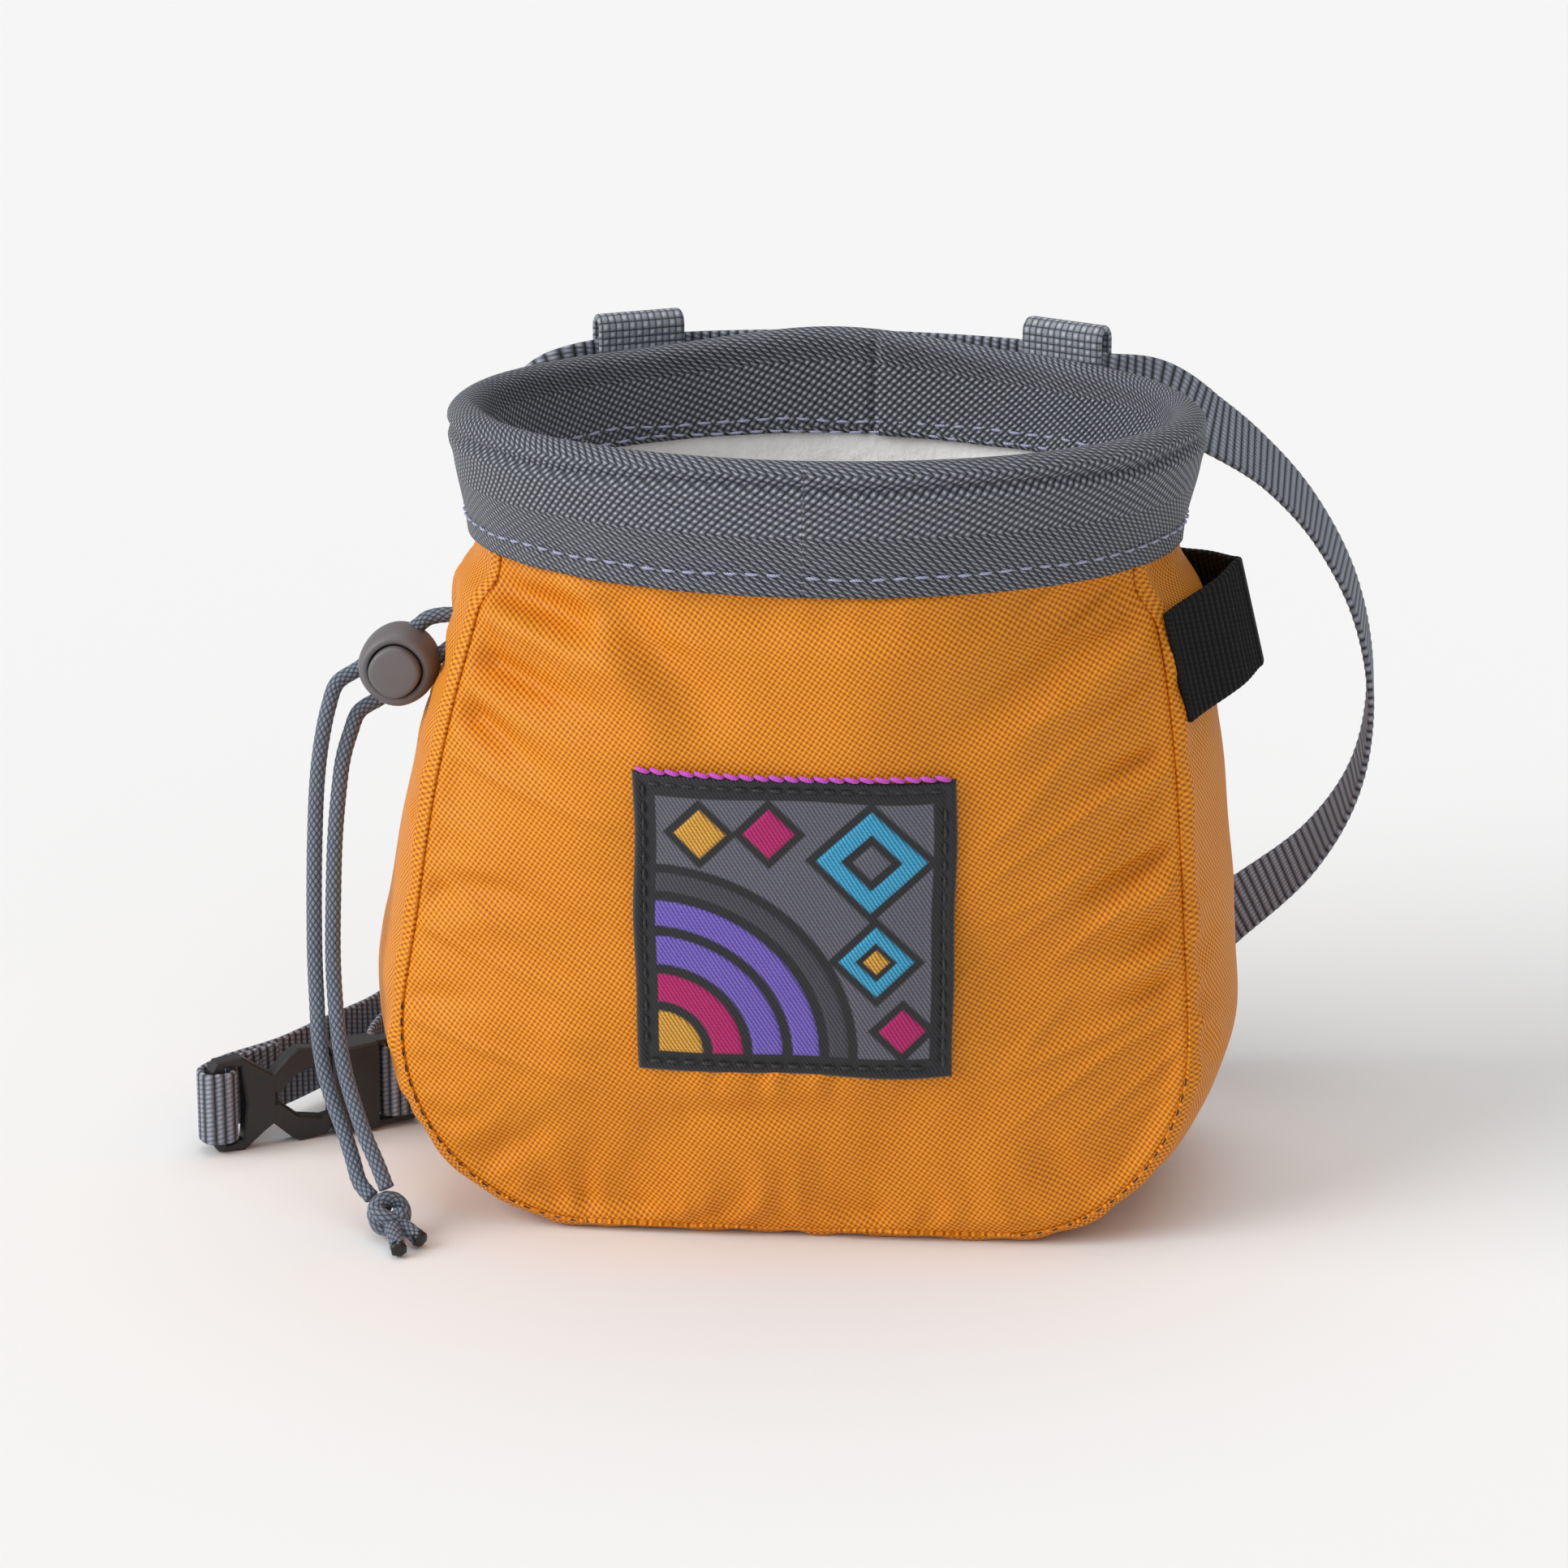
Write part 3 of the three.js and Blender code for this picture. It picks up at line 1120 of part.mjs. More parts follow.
// The free arc on the right, then behind the bag on the floor to the female half
const rightRoute = freeRoute([
  { side: 0.853, back: 0.830, rise: 0.9847, tilt: 26 },
  { side: 0.996, back: 0.884, rise: 0.9415, tilt: 48 },
  { side: 1.134, back: 0.981, rise: 0.8815, tilt: 62 },
  { side: 1.275, back: 1.067, rise: 0.7916, tilt: 68 },
  { side: 1.389, back: 1.105, rise: 0.6732, tilt: 72 },
  { side: 1.438, back: 1.143, rise: 0.5359, tilt: 75 },
  { side: 1.407, back: 1.171, rise: 0.4049, tilt: 72 },
  { side: 1.293, back: 1.190, rise: 0.2941, tilt: 62 },
  { side: 1.082, back: 1.200, rise: 0.1902, tilt: 48 },
  { side: 0.842, back: 1.171, rise: 0.0941, tilt: 28 },
  { side: 0.553, back: 1.124, rise: 0.0230, tilt: 10 },
  { side: 0.197, back: 1.086, rise: 0.0035, tilt: 0 },
  { side: -0.263, back: 1.067, rise: 0.0035, tilt: 0 },
  { side: -0.632, back: 1.029, rise: 0.0035, tilt: 0 },
  { side: -0.868, back: 0.933, rise: 0.0063, tilt: 0 },
  { side: -1.000, back: 0.733, rise: 0.0118, tilt: 0 },
  { side: -1.026, back: 0.514, rise: 0.0174, tilt: 0 },
]);

// Round the female half's bar: over its front, into the slot and out behind as the free end
const femaleTurn = turnRound([
  { slots: 1.00, bars: 1.84, wraps: 0.70 },
  { slots: 1.00, bars: 1.27, wraps: 1.08 },
  { slots: 1.00, bars: 0.64, wraps: 1.04 },
  { slots: 1.00, bars: 0.16, wraps: 1.04 },
  { slots: 0.76, bars: 0.00, wraps: 0.81 },
  { slots: 0.50, bars: 0.00, wraps: 0.00 },
  { slots: 0.47, bars: 0.00, wraps: -1.36 },
  { slots: 0.85, bars: 0.00, wraps: -3.40 },
  { slots: 2.70, bars: 0.00, wraps: -6.80 },
  { slots: 4.76, bars: 0.00, wraps: -9.40 },
], bodyEnd, femaleBarLength);

function beltGeometry() {
  const route = [...maleTurn, ...leftRoute, ...rimRoute, ...rightRoute, ...femaleTurn];
  const curve = new THREE.CatmullRomCurve3(route.map(({ point }) => point), false, 'centripetal');
  const stations = [];
  const steps = (route.length - 1) * beltSpanSteps;
  for (let i = 0; i <= steps; i += 1) {
    const share = (i / steps) * (route.length - 1);
    const before = Math.min(Math.floor(share), route.length - 2);
    const tilt = degrees(mix(route[before].tilt, route[before + 1].tilt, share - before));
    stations.push({
      centre: curve.getPoint(i / steps),
      across: new THREE.Vector3(0, Math.sin(tilt), Math.cos(tilt)),
    });
  }
  return strapGeometry(stations, beltWidth, beltThickness);
}

addPiece('waist_belt', beltGeometry(), greyWebbing);

// The brush loop's way in plan. out is a share of the way from the seam to its fold, and along one of the
// way from the front seam to the back one.
const brushLoopRoute = [
  { out: 0.000, along: 0.000 },
  { out: 0.161, along: 0.087 },
  { out: 0.720, along: 0.346 },
  { out: 0.934, along: 0.527 },
  { out: 0.993, along: 0.570 },
  { out: 0.890, along: 0.610 },
  { out: 0.550, along: 0.758 },
  { out: 0.120, along: 0.899 },
  { out: 0.000, along: 1.000 },
];

// Brush loop: webbing from the right gusset's front seam, out to a fold and back to its rear seam. Its
// width leans with the gusset, and its way lies square to its width.
function brushLoopGeometry() {
  const station = outlineStation(brushLoopLevel);
  const high = gussetPoint(1, outlineStation(brushLoopLevel + brushLoopWidth / 2), 0);
  const low = gussetPoint(1, outlineStation(brushLoopLevel - brushLoopWidth / 2), 0);
  const across = high.sub(low).normalize();
  const outward = new THREE.Vector3(across.z, 0, -across.x);
  const front = gussetPoint(1, station, -brushLoopSpan);
  const back = gussetPoint(1, station, brushLoopSpan);
  const seamX = front.x + brushLoopThickness / 2 + gap + brushLoopSeat;
  const foldX = gussetPoint(1, station, 0).x + brushLoopReach;
  const route = brushLoopRoute.map(({ out, along }) => new THREE.Vector3(seamX, 0, brushLoopLevel)
    .addScaledVector(outward, out * (foldX - seamX))
    .setY(mix(front.y, back.y, along)));
  const curve = new THREE.CatmullRomCurve3(route, false, 'centripetal');
  const stations = curve.getPoints(brushLoopSteps).map((centre) => ({ centre, across }));
  return strapGeometry(stations, brushLoopWidth, brushLoopThickness);
}

addPiece('brush_loop', brushLoopGeometry(), blackWebbing);

export default bag;
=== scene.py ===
"""A climbing chalk bag: nylon shell, webbing rim, fleece, label, belt, buckle, cords and cord lock.

Sizes are in millimetres, as in the frame's source, and meshes are written in metres.
"""
import logging
import math
from dataclasses import dataclass
from enum import Enum

import bpy
import numpy as np
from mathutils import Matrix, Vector


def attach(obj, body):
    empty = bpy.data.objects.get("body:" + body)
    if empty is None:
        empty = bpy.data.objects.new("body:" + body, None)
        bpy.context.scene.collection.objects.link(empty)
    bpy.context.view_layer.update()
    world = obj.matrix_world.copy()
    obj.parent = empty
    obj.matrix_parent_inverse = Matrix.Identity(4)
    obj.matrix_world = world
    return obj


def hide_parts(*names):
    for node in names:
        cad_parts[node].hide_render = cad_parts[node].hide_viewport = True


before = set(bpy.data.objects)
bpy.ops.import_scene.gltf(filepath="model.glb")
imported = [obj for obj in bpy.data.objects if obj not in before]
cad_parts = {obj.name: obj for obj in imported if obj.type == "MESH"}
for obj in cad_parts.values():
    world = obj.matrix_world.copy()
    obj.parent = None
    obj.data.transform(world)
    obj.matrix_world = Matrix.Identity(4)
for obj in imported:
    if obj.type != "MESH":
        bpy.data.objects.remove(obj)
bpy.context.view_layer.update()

MM = 0.001
RIB_PITCH = 1.85
BRAID_STRANDS = 8
BRAID_PITCH = 1.7
EDGE_SWELL = 0.004
BAG = "bag"
BUTTON = "button"
log = logging.getLogger("chalk_bag")
Array = np.ndarray


class Slot(Enum):
    """The record's material slots."""

    NYLON = "shell_nylon"
    WEBBING = "grey_webbing"
    FLEECE = "white_fleece"
    BLACK_WEBBING = "black_webbing"
    GREY_PLASTIC = "grey_plastic"
    LABEL = "label_weave"
    CORD = "slate_cord"


class Weave(Enum):
    """How the yarns of a woven finish cross."""

    PLAIN = "plain"
    HERRINGBONE = "herringbone"
    RIB = "rib"
    BASKET = "basket"
    TWILL = "twill"
    BRAID = "braid"


# Numbers and curves


def smooth(x: Array, low: float, high: float) -> Array:
    """Rises smoothly from 0 at low to 1 at high."""
    t = np.clip((np.asarray(x, float) - low) / (high - low), 0.0, 1.0)
    return t * t * (3.0 - 2.0 * t)


def bell(x: Array, width: float) -> Array:
    """A round bump of height 1 at 0."""
    return np.exp(-((np.asarray(x, float) / width) ** 2))


def ripples(a: Array, b: Array, scale: float, seed: int, waves: int = 9) -> Array:
    """Smooth irregular waves between about -1 and 1.

    Args:
        a: First coordinate, in millimetres.
        b: Second coordinate, in millimetres.
        scale: Mean wavelength, in millimetres.
        seed: Picks the pattern.
        waves: How many plane waves are summed.

    Returns:
        The height at each place.
    """
    draw = np.random.default_rng(seed)
    total = np.zeros(np.broadcast(a, b).shape)
    for _ in range(waves):
        angle = draw.uniform(0, math.pi)
        length = scale * draw.uniform(0.7, 1.6)
        phase = draw.uniform(0, 2 * math.pi)
        total += np.sin(2 * math.pi * (a * math.cos(angle) + b * math.sin(angle)) / length + phase)
    return total / math.sqrt(waves)


def unit(vectors: Array) -> Array:
    """Vectors of length 1 along the last axis."""
    return vectors / np.maximum(np.linalg.norm(vectors, axis=-1, keepdims=True), 1e-9)


class Column:
    """A smooth column of a table, with no overshoot between its rows."""

    def __init__(self, keys: list[float], values: list[float]) -> None:
        """Prepares the slopes at the rows.

        Args:
            keys: Rising keys of the rows.
            values: The column's values.
        """
        self.keys = np.array(keys, float)
        self.values = np.array(values, float)
        step = np.diff(self.values) / np.diff(self.keys)
        inner = np.zeros(len(step) - 1)
        same = step[:-1] * step[1:] > 0
        inner[same] = 2 * step[:-1][same] * step[1:][same] / (step[:-1][same] + step[1:][same])
        self.slopes = np.concatenate([[0.0], inner, [0.0]])

    def __call__(self, at: Array) -> Array:
        """The value at a key, or at an array of keys."""
        at = np.clip(np.asarray(at, float), self.keys[0], self.keys[-1])
        row = np.clip(np.searchsorted(self.keys, at, side="right") - 1, 0, len(self.keys) - 2)
        span = self.keys[row + 1] - self.keys[row]
        t = (at - self.keys[row]) / span
        start = (1 + 2 * t) * (1 - t) ** 2 * self.values[row] + t * (1 - t) ** 2 * span * self.slopes[row]
        end = t * t * (3 - 2 * t) * self.values[row + 1] + t * t * (t - 1) * span * self.slopes[row + 1]
        return start + end


def blend(a: Array, b: Array, start: float, end: float, at: float) -> Array:
    """A point between two, where a belongs to start and b to end."""
    return ((end - at) * a + (at - start) * b) / (end - start)


def through(points: list, per_span: int) -> Array:
    """A smooth line through points, even where they are unevenly spaced.

    Args:
        points: The points, in millimetres.
        per_span: Samples between two points.

    Returns:
        The sampled line, an array of points.
    """
    p = np.array(points, float)
    p = np.vstack([2 * p[0] - p[1], p, 2 * p[-1] - p[-2]])
    line = []
    for i in range(1, len(p) - 2):
        gaps = np.maximum(np.linalg.norm(np.diff(p[i - 1:i + 3], axis=0), axis=1) ** 0.5, 1e-6)
        t = np.concatenate([[0.0], np.cumsum(gaps)])
        for at in np.linspace(t[1], t[2], per_span, endpoint=False):
            first = [blend(p[i - 1 + k], p[i + k], t[k], t[k + 1], at) for k in range(3)]
            second = [blend(first[k], first[k + 1], t[k], t[k + 2], at) for k in range(2)]
            line.append(blend(second[0], second[1], t[1], t[2], at))
    line.append(p[-2])
    return np.array(line)


def resample(line: Array, spacing: float) -> Array:
    """Points along a line at an even spacing, in millimetres."""
    steps = np.linalg.norm(np.diff(line, axis=0), axis=1)
    reach = np.concatenate([[0.0], np.cumsum(steps)])
    count = max(2, int(round(reach[-1] / spacing)) + 1)
    at = np.linspace(0.0, reach[-1], count)
    return np.stack([np.interp(at, reach, line[:, k]) for k in range(3)], 1)


def carried_frames(line: Array, start: Array) -> tuple[Array, Array, Array]:
    """Directions carried along a line without spin.

    Args:
        line: The points of the line.
        start: Roughly the first side direction.

    Returns:
        The tangents, the side directions and the third directions.
    """
    tangents = unit(np.gradient(line, axis=0))
    sides = np.zeros_like(line)
    side = np.array(start, float)
    for i, tangent in enumerate(tangents):
        side = unit(side - tangent * side.dot(tangent))
        sides[i] = side
    return tangents, sides, np.cross(tangents, sides)


# Meshes


def mesh_object(name: str, vertices: Array, faces: list[Array], corners_uv: Array | None) -> bpy.types.Object:
    """Makes a smooth mesh object.

    Args:
        name: The piece's name.
        vertices: Points in millimetres.
        faces: Arrays of vertex numbers, one row a face.
        corners_uv: One weave coordinate, in millimetres, for each face corner, or None.

    Returns:
        The new object.
    """
    mesh = bpy.data.meshes.new(name)
    mesh.vertices.add(len(vertices))
    mesh.vertices.foreach_set("co", (vertices * MM).astype(np.float32).ravel())
    loops = np.concatenate([f.ravel() for f in faces])
    sizes = np.concatenate([np.full(len(f), f.shape[1]) for f in faces])
    mesh.loops.add(len(loops))
    mesh.loops.foreach_set("vertex_index", loops.astype(np.int32))
    mesh.polygons.add(len(sizes))
    mesh.polygons.foreach_set("loop_start", np.concatenate([[0], np.cumsum(sizes)[:-1]]).astype(np.int32))
    mesh.polygons.foreach_set("loop_total", sizes.astype(np.int32))
    mesh.update()
    if corners_uv is not None:
        layer = mesh.uv_layers.new(name="weave")
        layer.data.foreach_set("uv", corners_uv.astype(np.float32).ravel())
    mesh.shade_smooth()
    piece = bpy.data.objects.new(name, mesh)
    bpy.context.scene.collection.objects.link(piece)
    return piece


def grid_object(name: str, points: Array, weave: Array, wrap: tuple[bool, bool] = (False, False),
                caps: bool = False) -> bpy.types.Object:
    """Makes a mesh from a grid of points.

    Args:
        name: The piece's name.
        points: Rows by columns of points, in millimetres.
        weave: Weave coordinates of the grid, with one row or column more where it wraps.
        wrap: Whether the rows and the columns close on themselves.
        caps: Whether the first and last rows, which close on themselves, are filled.

    Returns:
        The new object.
    """
    rows, columns = points.shape[:2]
    r, c = np.meshgrid(np.arange(rows - (not wrap[0])), np.arange(columns - (not wrap[1])), indexing="ij")
    r, c = r.ravel(), c.ravel()
    below, beside = (r + 1) % rows, (c + 1) % columns
    this, next_row = r * columns, below * columns
    quads = np.stack([this + c, this + beside, next_row + beside, next_row + c], 1)
    uv = np.stack([weave[r, c], weave[r, c + 1], weave[r + 1, c + 1], weave[r + 1, c]], 1).reshape(-1, 2)
    faces = [quads]
    if caps:
        first = np.arange(columns)[::-1][None, :]
        last = (np.arange(columns) + (rows - 1) * columns)[None, :]
        faces += [first, last]
        uv = np.vstack([uv, weave[0, :columns][::-1], weave[-1, :columns]])
    return mesh_object(name, points.reshape(-1, 3), faces, uv)


def paint_colours(piece: bpy.types.Object, colours: Array) -> None:
    """Stores one linear colour for each vertex as the attribute 'tint'."""
    attribute = piece.data.attributes.new("tint", "FLOAT_COLOR", "POINT")
    whole = np.concatenate([colours, np.ones((*colours.shape[:-1], 1))], -1)
    attribute.data.foreach_set("color", whole.astype(np.float32).ravel())


def thicken(piece: bpy.types.Object, thickness: float, offset: float) -> None:
    """Gives a sheet a thickness in millimetres, applied to its mesh."""
    solid = piece.modifiers.new("thickness", "SOLIDIFY")
    solid.thickness = thickness * MM
    solid.offset = offset
    bake_modifiers(piece)


def bake_modifiers(piece: bpy.types.Object) -> None:
    """Applies a piece's modifiers to its mesh."""
    graph = bpy.context.evaluated_depsgraph_get()
    made = bpy.data.meshes.new_from_object(piece.evaluated_get(graph))
    old = piece.data
    piece.modifiers.clear()
    piece.data = made
    made.name = piece.name
    bpy.data.meshes.remove(old)


def grid_normals(points: Array, outward: Array) -> Array:
    """Normals of a grid of points.

    Args:
        points: Rows by columns of points.
        outward: A direction, or one for each point, that the normals agree with.

    Returns:
        The unit normals.
    """
    normals = unit(np.cross(np.gradient(points, axis=0), np.gradient(points, axis=1)))
    sign = np.sign((normals * outward).sum(-1, keepdims=True))
    return normals * np.where(sign == 0, 1, sign)


def round_sweep(line: Array, start: Array, radius: Array, sides: int,
                relief: Array | None = None) -> tuple[Array, Array]:
    """A tube's grid along a line.

    Args:
        line: The centreline's points.
        start: Roughly the first side direction.
        radius: Its radius, or one for each point of the line.
        sides: Points round it.
        relief: Extra radius, rows by sides, or None.

    Returns:
        The grid of points, and its weave coordinates (along, round).
    """
    _, side, third = carried_frames(line, start)
    turn = np.linspace(0, 2 * math.pi, sides, endpoint=False)
    reach = np.broadcast_to(np.asarray(radius, float), (len(line),))[:, None]
    reach = reach if relief is None else reach + relief
    ring = side[:, None, :] * np.cos(turn)[None, :, None] + third[:, None, :] * np.sin(turn)[None, :, None]
    along = np.concatenate([[0.0], np.cumsum(np.linalg.norm(np.diff(line, axis=0), axis=1))])
    round_by = np.linspace(0, 1, sides + 1)
    weave = np.stack(np.meshgrid(along, round_by, indexing="ij"), -1)
    return line[:, None, :] + ring * reach[..., None], weave


def strap_grid(line: Array, across: Array, width: float, thickness: float,
               ripple: float = 0.0) -> tuple[Array, Array]:
    """A webbing strap's grid along a line, with round edges.

    Args:
        line: The centreline's points.
        across: The direction of its width at each point.
        width: Its width.
        thickness: Its thickness.
        ripple: How far its ribs stand out of its faces.

    Returns:
        The grid of points, and its weave coordinates (along, across).
    """
    tangents = unit(np.gradient(line, axis=0))
    across = unit(across - tangents * (across * tangents).sum(1, keepdims=True))
    face = np.cross(tangents, across)
    half, thin = width / 2, thickness / 2
    flat = np.linspace(-1, 1, 13) * (half - thin)
    edge = np.linspace(-math.pi / 2, math.pi / 2, 6)[1:-1]
    turned = half - thin + thin * np.cos(edge)
    a = np.concatenate([flat, turned, flat[::-1], -turned])
    f = np.concatenate([flat * 0 - thin, thin * np.sin(edge), flat * 0 + thin, -thin * np.sin(edge)])
    along = np.concatenate([[0.0], np.cumsum(np.linalg.norm(np.diff(line, axis=0), axis=1))])
    rib = 1 + ripple * np.cos(2 * math.pi * along / RIB_PITCH)
    spread = 1 + EDGE_SWELL * (rib[:, None, None] - 1)
    points = line[:, None, :] + across[:, None, :] * a[None, :, None] * spread
    points = points + face[:, None, :] * f[None, :, None] * rib[:, None, None]
    closed = np.append(a, a[0])
    weave = np.stack(np.meshgrid(along, closed, indexing="ij"), -1)
    return points, weave


# Finishes


class Graph:
    """Builds a material's nodes from short calls."""

    def __init__(self, name: str) -> None:
        """Starts an empty material."""
        self.material = bpy.data.materials.new(name)
        self.material.use_nodes = True
        self.nodes = self.material.node_tree.nodes
        self.links = self.material.node_tree.links
        self.nodes.clear()
        self.out = self.nodes.new("ShaderNodeOutputMaterial")
        self.shader = self.nodes.new("ShaderNodeBsdfPrincipled")
        self.links.new(self.shader.outputs["BSDF"], self.out.inputs["Surface"])

    def put(self, socket: bpy.types.NodeSocket, value: object) -> None:
        """Links a socket's value, or sets it."""
        if isinstance(value, bpy.types.NodeSocket):
            self.links.new(value, socket)
        else:
            socket.default_value = value

    def math(self, operation: str, a: object, b: object = 0.0, c: object = 0.0) -> bpy.types.NodeSocket:
        """The result of a maths node."""
        node = self.nodes.new("ShaderNodeMath")
        node.operation = operation
        for socket, value in zip(node.inputs, (a, b, c)):
            self.put(socket, value)
        return node.outputs[0]

    def wave(self, at: object, pitch: float, shift: object = 0.0) -> bpy.types.NodeSocket:
        """A cosine wave from 0 to 1 along a coordinate."""
        turn = self.math("MULTIPLY_ADD", at, 2 * math.pi / pitch, shift)
        return self.math("MULTIPLY_ADD", self.math("COSINE", turn), 0.5, 0.5)

    def weave_place(self) -> tuple[bpy.types.NodeSocket, bpy.types.NodeSocket]:
        """The weave coordinates, in millimetres."""
        place = self.nodes.new("ShaderNodeUVMap")
        place.uv_map = "weave"
        parts = self.nodes.new("ShaderNodeSeparateXYZ")
        self.links.new(place.outputs["UV"], parts.inputs[0])
        return parts.outputs["X"], parts.outputs["Y"]

    def noise(self, per_metre: float, detail: float) -> bpy.types.NodeSocket:
        """Noise in the object's own space, about 0 to 1."""
        place = self.nodes.new("ShaderNodeTexCoord")
        node = self.nodes.new("ShaderNodeTexNoise")
        node.inputs["Scale"].default_value = per_metre
        node.inputs["Detail"].default_value = detail
        self.links.new(place.outputs["Object"], node.inputs["Vector"])
        return node.outputs["Fac"]

    def attribute(self, name: str, output: str = "Fac") -> bpy.types.NodeSocket:
        """A stored value of the mesh."""
        node = self.nodes.new("ShaderNodeAttribute")
        node.attribute_name = name
        return node.outputs[output]

    def mix(self, share: object, a: object, b: object, kind: str = "MIX") -> bpy.types.NodeSocket:
        """A mix of two colours."""
        node = self.nodes.new("ShaderNodeMix")
        node.data_type = "RGBA"
        node.blend_type = kind
        self.put(node.inputs[0], share)
        self.put(node.inputs[6], a)
        self.put(node.inputs[7], b)
        return node.outputs[2]

    def bump(self, height: object, depth: float, strength: float = 1.0,
             under: bpy.types.NodeSocket | None = None) -> bpy.types.NodeSocket:
        """A bumped normal, with a depth in millimetres."""
        node = self.nodes.new("ShaderNodeBump")
        node.inputs["Distance"].default_value = depth * MM
        node.inputs["Strength"].default_value = strength
        self.put(node.inputs["Height"], height)
        if under is not None:
            self.links.new(under, node.inputs["Normal"])
        return node.outputs[0]


def colour(red: int, green: int, blue: int) -> tuple[float, float, float, float]:
    """A linear colour from an 8-bit screen colour."""
    def linear(channel: int) -> float:
        """One channel, linear."""
        share = channel / 255
        return share / 12.92 if share <= 0.04045 else ((share + 0.055) / 1.055) ** 2.4
    return (linear(red), linear(green), linear(blue), 1.0)


@dataclass(frozen=True)
class ClothFinish:
    """A woven cloth: its weave, yarn colour, painted shade in the weave's hollows, and gloss."""

    name: str
    weave: Weave
    high: tuple
    low: tuple
    pitch: float
    depth: float
    roughness: float = 0.6
    sheen: float = 0.06
    uneven: float = 0.18
    gloss: float = 0.35
    tinted: bool = False

    def height(self, g: Graph) -> bpy.types.NodeSocket:
        """The yarns' height, 0 to 1.

        Args:
            g: The material's nodes.

        Returns:
            The height's socket.
        """
        u, v = g.weave_place()
        if self.weave is Weave.PLAIN:
            over = g.math("MULTIPLY", g.math("SINE", g.math("MULTIPLY", u, math.pi / self.pitch)),
                          g.math("SINE", g.math("MULTIPLY", v, math.pi / self.pitch)))
            return g.math("MULTIPLY_ADD", over, 0.5, 0.5)
        if self.weave is Weave.HERRINGBONE:
            zig = g.math("PINGPONG", v, 11.5)
            slant = g.math("MULTIPLY_ADD", zig, 0.9, u)
            line = g.wave(slant, self.pitch)
            bead = g.wave(v, 0.98, g.math("MULTIPLY", slant, math.pi / self.pitch))
            return g.math("MULTIPLY", g.math("POWER", line, 0.8), g.math("MULTIPLY_ADD", bead, 0.85, 0.15))
        if self.weave is Weave.RIB:
            rib = g.math("POWER", g.wave(u, RIB_PITCH), 0.6)
            bead = g.wave(v, 1.0, g.math("MULTIPLY", u, math.pi / RIB_PITCH))
            return g.math("MULTIPLY", rib, g.math("MULTIPLY_ADD", bead, 0.45, 0.55))
        if self.weave is Weave.BASKET:
            over = g.math("MULTIPLY", g.math("SINE", g.math("MULTIPLY", u, math.pi / self.pitch)),
                          g.math("SINE", g.math("MULTIPLY", v, math.pi / self.pitch)))
            cells = g.math("POWER", g.math("ABSOLUTE", over), 0.5)
            return g.math("MULTIPLY", cells, g.math("MULTIPLY_ADD", over, 0.2, 0.8))
        if self.weave is Weave.TWILL:
            line = g.wave(g.math("MULTIPLY_ADD", v, 0.62, u), self.pitch)
            bead = g.wave(v, self.pitch * 0.8)
            return g.math("MULTIPLY", line, g.math("MULTIPLY_ADD", bead, 0.35, 0.65))
        strands = g.math("MULTIPLY", v, BRAID_STRANDS)
        along = g.math("DIVIDE", u, BRAID_PITCH)
        left = g.math("SINE", g.math("MULTIPLY", g.math("ADD", strands, along), math.pi))
        right = g.math("SINE", g.math("MULTIPLY", g.math("SUBTRACT", strands, along), math.pi))
        return g.math("POWER", g.math("ABSOLUTE", g.math("MULTIPLY", left, right)), 0.5)

    def build(self) -> bpy.types.Material:
        """Makes the material.

        Returns:
            The new material.
        """
        g = Graph(self.name)
        yarn = self.height(g)
        patch = g.noise(60, 4)
        fine = g.noise(2600, 2)
        share = g.math("ADD", yarn, g.math("MULTIPLY_ADD", fine, self.uneven * 2, -self.uneven))
        high = g.attribute("tint", "Color") if self.tinted else self.high
        # The low colour is painted shade in the weave's hollows; on a tinted cloth it is a darker copy of the
        # tint.
        low = g.mix(0.72, high, self.low) if self.tinted else self.low
        # The colour falls from the yarns' tops to that painted shade where the yarns sink.
        woven = g.mix(g.math("MINIMUM", g.math("MAXIMUM", share, 0.0), 1.0), low, high)
        worn = g.mix(g.math("MULTIPLY_ADD", patch, 0.5, -0.12), woven, (0.72, 0.72, 0.72, 1), "SOFT_LIGHT")
        g.put(g.shader.inputs["Base Color"], worn)
        g.put(g.shader.inputs["Roughness"], g.math("MULTIPLY_ADD", fine, 0.22, self.roughness - 0.1))
        g.shader.inputs["Sheen Weight"].default_value = self.sheen
        g.shader.inputs["Sheen Roughness"].default_value = 0.45
        g.shader.inputs["Specular IOR Level"].default_value = self.gloss
        rough = g.bump(fine, 0.05, 0.5)
        g.put(g.shader.inputs["Normal"], g.bump(yarn, self.depth, 1.0, rough))
        return g.material


@dataclass(frozen=True)
class FleeceFinish:
    """Brushed fleece: tufts and short fibres."""

    name: str = "brushed_fleece"
    tint: tuple = colour(252, 251, 249)

    def build(self) -> bpy.types.Material:
        """Makes the material.

        Returns:
            The new material.
        """
        g = Graph(self.name)
        tufts = g.noise(420, 5)
        fibre = g.noise(3200, 3)
        shade = g.mix(tufts, (0.86, 0.85, 0.83, 1), self.tint)
        g.put(g.shader.inputs["Base Color"], g.mix(g.math("MULTIPLY", fibre, 0.3), shade, (1, 1, 1, 1)))
        g.put(g.shader.inputs["Roughness"], g.math("MULTIPLY_ADD", fibre, 0.1, 0.88))
        g.shader.inputs["Sheen Weight"].default_value = 0.8
        g.shader.inputs["Sheen Roughness"].default_value = 0.5
        g.put(g.shader.inputs["Normal"], g.bump(fibre, 0.12, 0.8, g.bump(tufts, 0.9, 0.8)))
        return g.material


